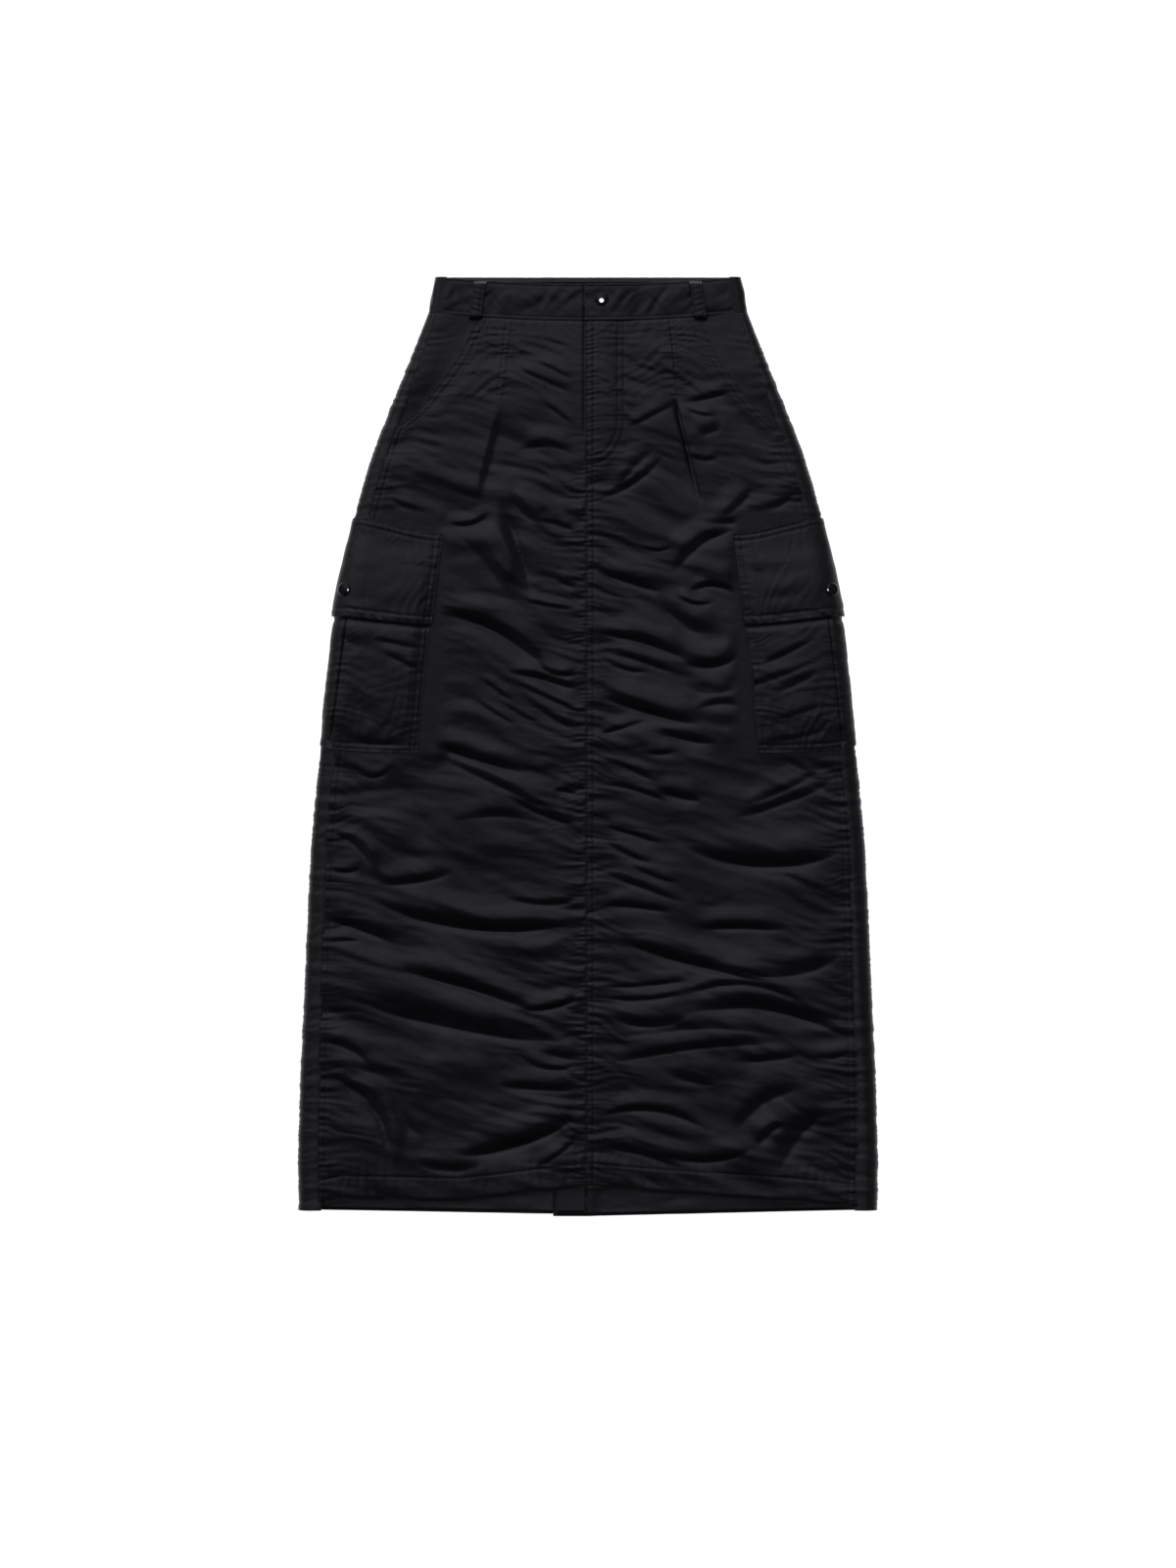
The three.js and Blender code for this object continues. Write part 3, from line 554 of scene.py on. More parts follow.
def open_pleat(side, reach, drop):
    """Below its stitching each pleat stands open: the outer cloth lies high and falls away
    slowly, and the inner cloth lies low. On the right the edge is a crisp step beside a narrow
    slit, and on the left it is a soft hollow."""
    opening, hollow, slit = PLEAT_OPENINGS[int(side > 0)]
    span = (PLEAT_TOP, PLEAT_TOP + opening, PLEAT_BOTTOM - 60, PLEAT_BOTTOM)
    opens = plateau(span, drop)
    outward = reach - line_reach(PLEAT_LINE, drop)
    inward = np.maximum(-outward, 0)
    high = 1.8 * np.exp(-np.maximum(outward, 0) / 26)
    low = -2.4 * np.exp(-inward / hollow) - slit * np.exp(-(inward / 3) ** 2)
    if side < 0:
        return opens * mix(1.3 * low, high, rise(-7, 1.5, outward))
    return opens * np.where(outward > 0, high, low)


def dart(reach, drop):
    """The stitched part of a pleat: a low double ridge with short rungs across it, and fine
    puckers that run out from it, other ones on each side."""
    outward = reach - line_reach(PLEAT_LINE, drop)
    near = np.exp(-(outward / 5) ** 2)
    ladder = 1.3 * rungs(drop, 17) * near
    away = np.maximum(np.abs(outward) - 3, 0)
    inner_shift = np.where(outward > 0, 0, 33.67)
    puckers = cascade(drop + inner_shift, away, leaning(EDGE_WAVES, 1.6), 19)
    rows = sum(groove(outward - row, 0.5) for row in PLEAT_ROWS)
    return plateau(DART_DOWN, drop) * (0.5 * near + ladder + 1.6 * puckers + rows)


def front_distances(side, reach, drop):
    """How far a place on the front lies from what holds its cloth: the seams, the slant, the
    hem and the band. X is the place across the skirt."""
    x = side * reach
    return SimpleNamespace(
        x=x, seam=seam_reach(drop) - reach, middle=np.abs(x + MIDDLE_SEAM),
        slant=slant_distance(reach, drop), hem=front_hem(x) - drop, band=drop - band_bottom(x))


def creases_and_drape(side, reach, drop, off):
    """The placed creases, a random drape of slanted patches in three sizes, and the open
    pleat. They fade towards the seams, the band and the hem."""
    seed = seed_for("front", side)
    folds = fold_heights(BROAD_FOLDS + FINE_FOLDS, off.x, drop)
    folds *= rise(6, 22, off.middle) * mix(0.25, 1, rise(2, 24, off.seam))
    folds *= rise(10, 40, off.band) * (1 - 0.55 * rise(HEM_STITCH + 20, HEM_STITCH - 4, off.hem))
    warp = 16 * patches(off.x / 60 + 9, drop / 55, seed + 1)
    slanted = drop - 0.32 * off.x + warp
    drape = 1.5 * patches(off.x / 75 + 7, slanted / 30, seed + 2)
    drape += 0.8 * patches(off.x / 44 + 3, slanted / 15, seed + 3)
    fine = mix(0.46, 0.22, rise(150, 300, drop))
    drape += fine * patches(off.x / 21 + 5, slanted / 6.5, seed + 4)
    drape *= rise(2, 50, off.middle) * rise(4, 40, off.band)
    return np.clip(folds, -5, 4) + drape + open_pleat(side, reach, drop)


def shirring(side, drop, off, under_pocket):
    """Puckers that run out from the middle seam, the side seam, the band, the hem's row and
    the slant. Under the fly and a pocket they are weaker."""
    seed = seed_for("front", side)
    middle = cascade(drop, np.maximum(off.middle - 4, 0), leaning(MIDDLE_WAVES, -side), seed + 20)
    middle = middle * rise(-1, 6, off.middle) + rungs(drop, 11) * rise(9, 4, off.middle)
    below_fly = mix(0.22, 1, rise(FLY_BOTTOM + 10, FLY_BOTTOM + 70, drop))
    height = middle * below_fly * rise(0, 25, off.band) * mix(1, 0.3, under_pocket)
    seam = cascade(drop, np.maximum(off.seam - 6, 0), leaning(SIDE_WAVES, side), seed + 40)
    height += seam * rise(SLANT_BOTTOM, SLANT_BOTTOM + 30, drop) * (1 - under_pocket)
    band = cascade(off.x, np.maximum(off.band, 0), EDGE_WAVES, 31)
    height += band * (1 - rise(2, 34, off.band))
    hem = cascade(off.x, np.abs(off.hem - HEM_STITCH), EDGE_WAVES, 37)
    height += 1.8 * hem * rise(60, 20, off.hem)
    height += 0.5 * patches((off.x + off.hem) / 17, off.hem / 14, 39) * rise(30, 15, off.hem)
    slant = cascade(drop, np.maximum(off.slant - 6, 0), EDGE_WAVES, seed + 60)
    return height + slant * rise(30, 8, off.slant) * (drop < SLANT_BOTTOM + 20)


def seam_dents(side, reach, drop, off):
    """Dents along the stitching and the band, the hem's edge rolled down, and on the left the
    dent under the edge of the fly's lap."""
    height = groove(off.x + 0.4, 0.4) + groove(off.x - ROW_ROOM, 0.6) + groove(off.band, 1.2, 2)
    height += sum(groove(off.seam - row) for row in SEAM_ROWS)
    height += groove(off.hem - HEM_STITCH, 0.4, 1.2)
    height += groove(off.hem, 1.5, 2.4) * (1 + 0.2 * wiggle(off.x / 35, 41))
    slant = sum(groove(off.slant - row, 0.2) for row in EDGE_ROWS)
    height += slant * (drop < SLANT_BOTTOM + 4)
    if side < 0:
        above_fly_end = 1 - rise(FLY_BOTTOM - 10, FLY_BOTTOM + 15, drop)
        height += groove(reach - FLY_EDGE - 1, 1.3, 1.5) * above_fly_end
    return height


def fly_lap(reach, drop, off):
    """The fly on the right panel: raised where it laps over the left one, with rungs down its
    edge, and dents and puckers beside its two curved rows."""
    from_curve = fly_distance(off.x, drop)
    lap = (1 - rise(16, 44, reach)) * (1 - rise(FLY_BOTTOM + 21, FLY_BOTTOM + 50, drop))
    height = FLY_RAISE * lap
    dents = sum(groove(from_curve + row, 0.5) for row in FLY_ROWS)
    height += dents * (drop < FLY_CURVE_BOTTOM + 8)
    strip = rise(15, 6, reach) * rise(240, 200, drop) * rise(4, 12, off.band)
    height += 1.3 * rungs(drop + 0.2 * reach, 23) * strip
    beside_rows = np.abs(from_curve - 3) * rise(0, 3, reach)
    puckers = cascade(drop, np.maximum(beside_rows - 3, 0), leaning(EDGE_WAVES, 0.6), 29)
    puckers *= rise(FLY_CURVE_BOTTOM + 24, FLY_CURVE_BOTTOM, drop) * rise(4, 12, off.band)
    return height + puckers


def pocket_well(reach, drop):
    """Depth of the hollow in the front under a cargo pocket, which gives the pocket room."""
    return POCKET_WELL * plateau(POCKET_WELL_ACROSS, reach) * plateau(POCKET_WELL_DOWN, drop)


def front_relief(side, reach, drop):
    """Shape of the front beside its plain level: creases and drape where the cloth is free,
    shirring at its seams, the stitched pleat, the dents of its stitching, and the fly."""
    off = front_distances(side, reach, drop)
    under_pocket = rise(146, 162, reach) * plateau(POCKET_COVER_DOWN, drop)
    open_cloth = (1 - under_pocket) * rise(4, 22, off.slant)
    height = creases_and_drape(side, reach, drop, off) * open_cloth
    height += shirring(side, drop, off, under_pocket)
    height += dart(reach, drop) + seam_dents(side, reach, drop, off)
    if side > 0:
        height += fly_lap(reach, drop, off)
    return height - pocket_well(reach, drop)


def front_place(side, reach, drop, lift=0.0):
    """Points of the front's outer face, with its relief, moved out by lift."""
    return hoop(side, place_at(reach, drop), drop, front_relief(side, reach, drop) + lift)


def middle_edge(side, drop):
    """Reach of a front panel's middle edge: the fly's edges above, the middle seam below."""
    if side > 0:
        return -mix(FLY_EDGE, MIDDLE_SEAM, rise(BAND_HEIGHT, 200, drop))
    return mix(FLY_EDGE - FLY_OVERLAP, MIDDLE_SEAM + SEAM_GAP,
               rise(FLY_BOTTOM, FLY_BOTTOM + 18, drop))


def outer_edge(drop):
    """Reach of a front panel's outer edge: the slant of the hip pocket, then the seam."""
    seam = seam_reach(drop) - SEAM_GAP
    return np.where(drop < SLANT_BOTTOM, np.minimum(line_reach(SLANT_LINE, drop), seam), seam)


def unit(vectors):
    """Vectors made one long."""
    return vectors / np.maximum(np.linalg.norm(vectors, axis=-1, keepdims=True), 1e-9)


def grid_normals(points, outward):
    """Normals of a grid of points: the cross product of its two directions, turned to the
    side that outward points to."""
    down, across = np.gradient(points, axis=0), np.gradient(points, axis=1)
    normals = unit(np.cross(across, down))
    return normals * np.sign((normals * outward).sum(-1, keepdims=True))


def border(rows, columns):
    """Row and column numbers once round the edge of a grid."""
    top = [(0, c) for c in range(columns - 1)]
    right = [(r, columns - 1) for r in range(rows - 1)]
    bottom = [(rows - 1, c) for c in range(columns - 1, 0, -1)]
    left = [(r, 0) for r in range(rows - 1, 0, -1)]
    return np.array(top + right + bottom + left)


# How the edge of the cloth rolls over: steps past its rim and below its face, as shares of
# its wall. The first is close to the face, so that the shading stays even up to the edge.
EDGE_ROLL = [(0.06, 0.02), (0.12, 0.3), (0.05, 0.85)]


def cloth_mesh(name, points, outward, wall, turned_in=4.0):
    """A mesh object from a grid of points of the outer face. Round its edge the cloth rolls
    over by its wall and is turned in by a few millimetres, each in more loops of points.
    The UV map is in metres of cloth: across by the distance, and down by the distance."""
    rows, columns = points.shape[:2]
    normals = grid_normals(points, outward)
    edge = border(rows, columns)
    r, c = edge.T
    inner_r = np.clip(r, 1, rows - 2)
    inner_c = np.clip(c, 1, columns - 2)
    rim, up = points[r, c], normals[r, c]
    out = rim - points[inner_r, inner_c]
    out = unit(out - up * (out * up).sum(-1, keepdims=True))
    loops = [rim + (out * past - up * below) * wall for past, below in EDGE_ROLL]
    loops.append(rim - out * turned_in - up * wall)
    vertices = np.concatenate([points.reshape(-1, 3), *loops])
    index = np.arange(rows * columns).reshape(rows, columns)
    quads = np.stack([index[:-1, :-1], index[:-1, 1:], index[1:, 1:], index[1:, :-1]], -1)
    quads = quads.reshape(-1, 4)
    a, b, d = (points.reshape(-1, 3)[quads[:, k]] for k in (0, 1, 3))
    facing = (np.cross(b - a, d - a) * normals.reshape(-1, 3)[quads[:, 0]]).sum()
    before = index[r, c]
    faces = [quads]
    for number in range(len(loops)):
        after = rows * columns + number * len(edge) + np.arange(len(edge))
        faces.append(np.stack([np.roll(before, -1), before, after, np.roll(after, -1)], -1))
        before = after
    faces = np.concatenate(faces)
    if facing < 0:
        faces = faces[:, ::-1]
    across = np.cumsum(np.linalg.norm(np.diff(points, axis=1, prepend=points[:, :1]), axis=-1), 1)
    down = np.cumsum(np.linalg.norm(np.diff(points, axis=0, prepend=points[:1]), axis=-1), 0)
    across = np.broadcast_to(across[rows // 2], (rows, columns))
    flat = np.stack([across, down], -1).reshape(-1, 2)
    flat = np.concatenate([flat] + [flat[index[r, c]]] * len(loops)) * MM
    return mesh_object(name, vertices, faces, flat)


def mesh_object(name, vertices, faces, flat=None):
    """An object with its place in its mesh, smooth shaded, from arrays in millimetres."""
    mesh = bpy.data.meshes.new(name)
    mesh.vertices.add(len(vertices))
    mesh.vertices.foreach_set("co", (vertices * MM).astype(np.float32).ravel())
    sides = faces.shape[1]
    mesh.loops.add(faces.size)
    mesh.loops.foreach_set("vertex_index", faces.astype(np.int32).ravel())
    mesh.polygons.add(len(faces))
    mesh.polygons.foreach_set("loop_start", np.arange(0, faces.size, sides, dtype=np.int32))
    mesh.update(calc_edges=True)
    mesh.shade_smooth()
    if flat is not None:
        layer = mesh.uv_layers.new(name="cut")
        layer.data.foreach_set("uv", flat[faces.ravel()].astype(np.float32).ravel())
    made = bpy.data.objects.new(name, mesh)
    bpy.context.scene.collection.objects.link(made)
    return made


def piece(made, material, nodes=()):
    """Gives a piece its material and its body, and hides the solids that it stands for."""
    made.data.materials.append(material)
    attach(made, "root")
    if nodes:
        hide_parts(*nodes)
    return made


def cloth_piece(name, node, face, wall=CLOTH_WALL, turned_in=4.0):
    """A sheet of satin that stands for a solid. Face gives its points, moved out by a lift."""
    points = face(0)
    made = cloth_mesh(name, points, face(1) - points, wall, turned_in)
    return piece(made, SATIN, [node])


def steps_down(count, start=0.0, end=1.0):
    """Even steps down a grid, one for each row of points."""
    return np.linspace(start, end, count)[:, None]


def side_name(side):
    """Left is the half at -X."""
    return "right" if side > 0 else "left"


def hex_colour(code):
    """An sRGB hex colour as linear red, green and blue with full cover."""
    parts = [int(code[i:i + 2], 16) / 255 for i in (1, 3, 5)]
    linear = [c / 12.92 if c <= 0.04045 else ((c + 0.055) / 1.055) ** 2.4 for c in parts]
    return (*linear, 1.0)


def add_node(tree, kind, settings, inputs):
    """Adds a shader node with its settings. An input that is a socket is linked, and any
    other is set."""
    node = tree.nodes.new(kind)
    for name, value in settings.items():
        setattr(node, name, value)
    for name, value in inputs.items():
        if isinstance(value, bpy.types.NodeSocket):
            tree.links.new(value, node.inputs[name])
        else:
            node.inputs[name].default_value = value
    return node


def new_material(name):
    """An empty node material and its tree."""
    material = bpy.data.materials.new(name)
    material.use_nodes = True
    material.node_tree.nodes.clear()
    return material, material.node_tree


def finish_material(tree, inputs):
    """Ends a tree with the shader and the output."""
    shader = add_node(tree, "ShaderNodeBsdfPrincipled", {}, inputs)
    add_node(tree, "ShaderNodeOutputMaterial", {}, {"Surface": shader.outputs["BSDF"]})


def nylon_satin():
    """Flight satin of filament nylon, piece dyed black: long floats make it smooth, with a
    soft wide gloss that runs along the folds. A real float is 0.3 mm wide, too fine to show
    at this distance, so the weave is drawn at 1.1 mm: at scale 1 a wave texture's stripes are
    0.314 m apart. The crumple is about 11 mm across and the cloudy tone about 110 mm."""
    material, tree = new_material("nylon_flight_satin")
    place = add_node(tree, "ShaderNodeTexCoord", {}, {})
    weave = add_node(tree, "ShaderNodeTexWave",
                     {"wave_type": "BANDS", "bands_direction": "DIAGONAL", "wave_profile": "SIN"},
                     {"Vector": place.outputs["UV"], "Scale": 0.314 / 0.0011, "Distortion": 0.6,
                      "Detail": 1.0})
    crumple = add_node(tree, "ShaderNodeTexNoise", {},
                       {"Vector": place.outputs["Object"], "Scale": 90.0, "Detail": 4.0,
                        "Roughness": 0.55})
    cloudy = add_node(tree, "ShaderNodeTexNoise", {},
                      {"Vector": place.outputs["Object"], "Scale": 9.0, "Detail": 3.0})
    colour = add_node(tree, "ShaderNodeMix", {"data_type": "RGBA"},
                      {"Factor": cloudy.outputs["Fac"], "A": hex_colour("#0b0b0d"),
                       "B": hex_colour("#121215")})
    gloss = add_node(tree, "ShaderNodeMapRange", {},
                     {"Value": crumple.outputs["Fac"], "To Min": 0.34, "To Max": 0.46})
    soft = add_node(tree, "ShaderNodeBump", {},
                    {"Height": crumple.outputs["Fac"], "Strength": 0.35, "Distance": 0.001})
    woven = add_node(tree, "ShaderNodeBump", {},
                     {"Height": weave.outputs["Fac"], "Strength": 0.25, "Distance": 0.0001,
                      "Normal": soft.outputs["Normal"]})
    finish_material(tree, {
        "Base Color": colour.outputs["Result"], "Roughness": gloss.outputs["Result"],
        "Normal": woven.outputs["Normal"], "IOR": 1.53, "Sheen Weight": 0.05,
        "Sheen Roughness": 0.4, "Sheen Tint": hex_colour("#8a8a92")})
    return material


def sewing_thread():
    """Spun polyester thread dyed black: matter than the satin, so a seam reads as a dull
    line. Its fibres are drawn 0.7 mm across."""
    material, tree = new_material("polyester_thread")
    place = add_node(tree, "ShaderNodeTexCoord", {}, {})
    fibre = add_node(tree, "ShaderNodeTexNoise", {},
                     {"Vector": place.outputs["Object"], "Scale": 1400.0})
    colour = add_node(tree, "ShaderNodeMix", {"data_type": "RGBA"},
                      {"Factor": fibre.outputs["Fac"], "A": hex_colour("#111113"),
                       "B": hex_colour("#222226")})
    finish_material(tree, {"Base Color": colour.outputs["Result"], "Roughness": 0.6,
                           "IOR": 1.5, "Sheen Weight": 0.2})
    return material


def enamelled_brass():
    """Snap caps pressed from brass and enamelled gloss black: a hard clear highlight on a
    near-black dome."""
    material, tree = new_material("black_enamelled_brass")
    place = add_node(tree, "ShaderNodeTexCoord", {}, {})
    dust = add_node(tree, "ShaderNodeTexNoise", {},
                    {"Vector": place.outputs["Object"], "Scale": 700.0, "Detail": 2.0})
    gloss = add_node(tree, "ShaderNodeMapRange", {},
                     {"Value": dust.outputs["Fac"], "To Min": 0.06, "To Max": 0.14})
    finish_material(tree, {"Base Color": hex_colour("#050506"), "IOR": 1.3,
                           "Roughness": gloss.outputs["Result"], "Coat Weight": 0.2,
                           "Coat Roughness": 0.05})
    return material


SATIN = nylon_satin()
SEWN = sewing_thread()
ENAMEL = enamelled_brass()

# Points of the large grids: down the front, across it inside and outside the pleat, down the
# back, and round the side and across the back. A place that depends on itself settles in a
# few rounds.
FRONT_ROWS = 781
FRONT_INNER = 56
FRONT_OUTER = 60
BACK_ROWS = 561
BACK_SIDE = 34
BACK_UNDER = 61
SETTLING_ROUNDS = 6


def front_panel(side):
    """A front panel as a grid. Columns run from the middle edge to the pleat and from the
    pleat to the outer edge, closer together at the seams; rows follow the waist and hem."""
    inner = np.linspace(0, 1, FRONT_INNER) ** 1.3
    outer = 1 - (1 - np.linspace(0, 1, FRONT_OUTER)) ** 1.25
    down = steps_down(FRONT_ROWS)
    drop = np.repeat(mix(BAND_HEIGHT, front_hem(0), down), FRONT_INNER + FRONT_OUTER, 1)
    for _ in range(SETTLING_ROUNDS):
        pleat = line_reach(PLEAT_LINE, drop)
        to_pleat = mix(middle_edge(side, drop)[:, :FRONT_INNER],
                       pleat[:, :FRONT_INNER] - PLEAT_EDGE, inner)
        to_seam = mix(pleat[:, FRONT_INNER:] + PLEAT_EDGE,
                      outer_edge(drop)[:, FRONT_INNER:], outer)
        reach = np.concatenate([to_pleat, to_seam], 1)
        x = side * reach
        drop = mix(band_bottom(x) + SEAM_GAP, front_hem(x), down)
    place = place_at(reach, drop)
    relief = front_relief(side, reach, drop)
    name = side_name(side)
    return cloth_piece(f"front_panel_{name}", f"front_{name}",
                       lambda lift: hoop(side, place, drop, relief + lift))


# How far the back's edges lie under the front's at the side seams, and the puckers that run
# out from the back's middle seam
SEAM_TUCK = 2.5
BACK_WAVES = [(9, 0.4, 0.1), (18, 0.5, -0.12), (34, 0.5, 0.2)]


def back_relief(side, place, reach, drop):
    """Shape of the back beside its plain level. Round the side the shirring of the side seam
    runs on, and at the seam its edge is tucked in under the front's. Underneath all creases
    are pressed up into the cloth, none below the floor."""
    seed = seed_for("back", side)
    from_seam = np.maximum(2 - place, 0) * section("turn", drop)
    seam = cascade(drop, from_seam, SIDE_WAVES, seed_for("front", side) + 40)
    seam += 1.8 * rungs(drop, seed + 4) * rise(16, 5, from_seam)
    seam *= rise(BAND_HEIGHT, 90, drop)
    warp = 12 * patches(reach / 80, drop / 60, seed)
    drape = patches(reach / 66, (drop + warp) / 15, seed + 1)
    drape += 0.6 * patches(reach / 34, (drop + warp) / 8, seed + 2)
    middle = cascade(drop, np.maximum(reach - 4, 0), BACK_WAVES, 640) * rise(60, 120, drop)
    under = -0.9 * np.abs(drape) * rise(4, 40, reach) - 0.8 * np.abs(middle)
    under -= 1.6 * np.clip(patches(reach / 110, (drop + 2 * warp) / 30, seed + 3) - 0.2, 0, 1)
    under += sum(groove(reach - row) for row in SEAM_ROWS)
    under += groove(BACK_HEM_SIDE - HEM_STITCH - drop, 0.5)
    side_reach = hoop(1, place, drop, 0)[..., 0]
    tucked = -0.5 * rise(3, -SEAM_TUCK, side_reach - seam_reach(drop)) * (place < 2)
    return mix(np.maximum(under, -3), seam * 0.8, rise(3.05, 2.6, place)) + tucked


def back_panel(side):
    """A back panel as a grid, from the side seam round the side and flat to the middle seam.
    Below the vent's top the right panel runs on over the left one's inner side, and there it
    is a little longer."""
    down = steps_down(BACK_ROWS)
    laps = side > 0
    row_drop = mix(BAND_HEIGHT + SEAM_GAP, BACK_HEM_MIDDLE, down)
    lapped = rise(VENT_TOP + 8, VENT_TOP + 14, row_drop) if laps else 0
    longer = rise(VENT_TOP, VENT_TOP + 100, row_drop) if laps else 0
    flat = under_flat_reach(row_drop)
    last = mix(SEAM_GAP / 2, -VENT_OVERLAP, lapped)
    under = mix(flat, last, np.linspace(0, 1, BACK_UNDER + 1)[1:])
    reach = np.concatenate([np.repeat(flat, BACK_SIDE, 1), under], 1)
    middle_hem = mix(BACK_HEM_MIDDLE, LENGTH, longer)
    hem = mix(middle_hem, BACK_HEM_SIDE, np.clip(reach / flat, 0, 1))
    drop = mix(BAND_HEIGHT + SEAM_GAP, hem, down)
    seam_place = place_at(seam_reach(drop[:, :1]) - SEAM_TUCK, drop[:, :1])
    round_side = mix(seam_place, 3, np.linspace(0, 1, BACK_SIDE))
    place = np.concatenate([round_side, place_under(reach, drop)[:, BACK_SIDE:]], 1)
    relief = back_relief(side, place, reach, drop)
    if laps:
        over = rise(10, 4, reach) * rise(VENT_TOP - 35, VENT_TOP, drop)
        relief = relief * (1 - over) - (CLOTH_WALL + SEAM_GAP) * over
    name = side_name(side)
    return cloth_piece(f"back_panel_{name}", f"back_{name}",
                       lambda lift: hoop(side, place, drop, relief + lift))


def facing_relief(side, reach, drop, across):
    """Level of the piece inside a hip pocket: a little under the front at the slant, level
    with it at the side seam, with soft puckers."""
    up = rise(0.25, 1, across) * (1 - rise(110, 150, drop))
    seed = seed_for("facing", side)
    puckers = cascade(drop, seam_reach(drop) - reach, SIDE_WAVES[:2], seed) * 0.5 * up
    return -(CLOTH_WALL + 0.9) * (1 - up) + puckers + 0.2 * patches(reach / 20, drop / 9, seed)


def hip_facing(side):
    """The piece that shows outside the slant of a hip pocket, from a little under the front
    panel to the side seam."""
    row_drop = steps_down(110, BAND_HEIGHT + SEAM_GAP, SLANT_BOTTOM + 10)
    across = np.linspace(0, 1, 44)
    seam = seam_reach(row_drop)
    slant = np.minimum(line_reach(SLANT_LINE, row_drop), seam)
    reach = mix(slant - 10, seam - SEAM_GAP, across)
    drop = np.maximum(row_drop, band_bottom(reach) + SEAM_GAP)
    place = place_at(reach, drop)
    relief = facing_relief(side, reach, drop, across)
    name = side_name(side)
    return cloth_piece(f"hip_pocket_facing_{name}", f"hip_facing_{name}",
                       lambda lift: hoop(side, place, drop, relief + lift), turned_in=1.5)


def band_relief(along, share, seed):
    """A waistband of folded satin: soft slanted puckers between its two stitched edges."""
    between = np.sin(np.pi * np.clip(share, 0, 1))
    slanted = along + 26 * share + 7 * patches(along / 30, share * 2, seed + 3)
    puckers = 0.75 * patches(slanted / 9, share * 2.6, seed)
    puckers += 0.3 * patches((along - 22 * share) / 5, share * 3.4, seed + 1)
    soft = 0.5 * patches(along / 26, share * 1.7, seed + 5)
    edges = sum(groove((share - row) * BAND_HEIGHT, 0.35) for row in BAND_ROWS)
    return (puckers + soft) * between + 0.35 * between + edges


def front_band_lift(side, reach, share):
    """Lift of a front band: its puckers, and on the right the lap over the left one."""
    raised = BAND_RAISE * (1 - rise(BAND_OVERLAP - FLY_EDGE, 60, reach)) if side > 0 else 0
    under_lap = (1 - rise(-2, 8, reach)) if side < 0 else 0
    relief = band_relief(side * reach, share, seed_for("band", side)) * (1 - under_lap)
    at_seam = rise(9, 1, seam_reach(BAND_HEIGHT * share) - reach)
    beside_lap = groove(reach - FLY_EDGE - 1, 1.1, 1.4) if side < 0 else 0
    return raised + mix(np.minimum(relief, 0.9), 0, at_seam) + beside_lap


def front_band_place(side, reach, share, lift=0.0):
    """Points of a front band's outer face at a share of its height down from its top."""
    x = side * reach
    drop = mix(band_top(x), band_bottom(x), share)
    return hoop(side, place_at(reach, drop), drop, front_band_lift(side, reach, share) + lift)


def front_band(side):
    """Front waistband from its end at the fly to the side seam."""
    share = steps_down(32)
    start = -FLY_EDGE if side > 0 else FLY_EDGE - BAND_OVERLAP
    end = seam_reach(BAND_HEIGHT * share) - SEAM_GAP
    reach = mix(start, end, np.linspace(0, 1, 118))
    name = side_name(side)
    return cloth_piece(f"waistband_{name}", f"waistband_front_{name}",
                       lambda lift: front_band_place(side, reach, share, lift), BAND_WALL, 5)


# Share of half the back band that lies flat under the skirt, before it turns round the side
BAND_TURN = 0.86


def back_band_place(across, share, lift=0.0):
    """Points of the back band's outer face. Across runs from -1 at the left side seam over 0
    at the middle of the back to 1 at the right one, and is flat under the skirt up to
    BAND_TURN."""
    drop = BAND_HEIGHT * share
    seam_place = place_at(seam_reach(drop) - SEAM_TUCK, drop)
    far = np.abs(across)
    round_side = mix(3, seam_place, (far - BAND_TURN) / (1 - BAND_TURN))
    place = np.where(far > BAND_TURN, round_side, 4 - far / BAND_TURN)
    relief = band_relief(across * 340, share, 930)
    relief = np.where(place > 3, np.minimum(relief - 0.9, 0), relief * 0.7)
    relief = mix(relief, -0.3, rise(0.95, 0.99, far))
    points = hoop(1, place, drop, relief + lift)
    points[..., 0] *= np.where(across < 0, -1, 1)
    return points


def back_band():
    """Back waistband from one side seam round the back to the other, with a fifth of its
    points on each turned side."""
    share = steps_down(32)
    around = np.linspace(0, 1, 130)
    half = np.where(around < 0.8, around / 0.8 * BAND_TURN, mix(BAND_TURN, 1, (around - 0.8) / 0.2))
    across = np.concatenate([-half[:0:-1], half])
    return cloth_piece("waistband_back_part", "waistband_back",
                       lambda lift: back_band_place(across, share, lift), BAND_WALL, 5)


# A belt loop: its width, the reach and drop of its two ends, and its height over the band
LOOP_WIDTH = 12.5
LOOP_TOP = (114.4, 5)
LOOP_BOTTOM = (120.2, 45.5)
LOOP_ARCH = 4.7


def loop_place(side, share, across, lift=0.0):
    """Points of a belt loop's outer face: a strip that climbs from each sewn end to a level
    middle over the band, with cross puckers and rolled edges."""
    reach = mix(LOOP_TOP[0], LOOP_BOTTOM[0], share) + across * LOOP_WIDTH
    drop = mix(LOOP_TOP[1], LOOP_BOTTOM[1], share)
    arch = LOOP_ARCH * rise(0, 0.08, share) * rise(1, 0.92, share)
    puckers = 0.17 * wiggle(share * 14 + 1.2 * across, 950) * (1 - 1.2 * np.abs(across))
    rolled = -24 * np.clip(np.abs(across) - 0.36, 0, 1) ** 2
    dents = groove((np.abs(across) - LOOP_ROWS[1]) * 12, 0.3)
    total = SEAM_GAP + LOOP_WALL + arch + puckers + rolled + dents
    return hoop(side, place_at(reach, drop), drop, total + lift)


def belt_loop(side):
    """A belt loop over the front band."""
    share = steps_down(60)
    across = np.linspace(-0.5, 0.5, 18)
    name = side_name(side)
    return cloth_piece(f"belt_loop_strip_{name}", f"belt_loop_{name}",
                       lambda lift: loop_place(side, share, across, lift), LOOP_WALL, 3)


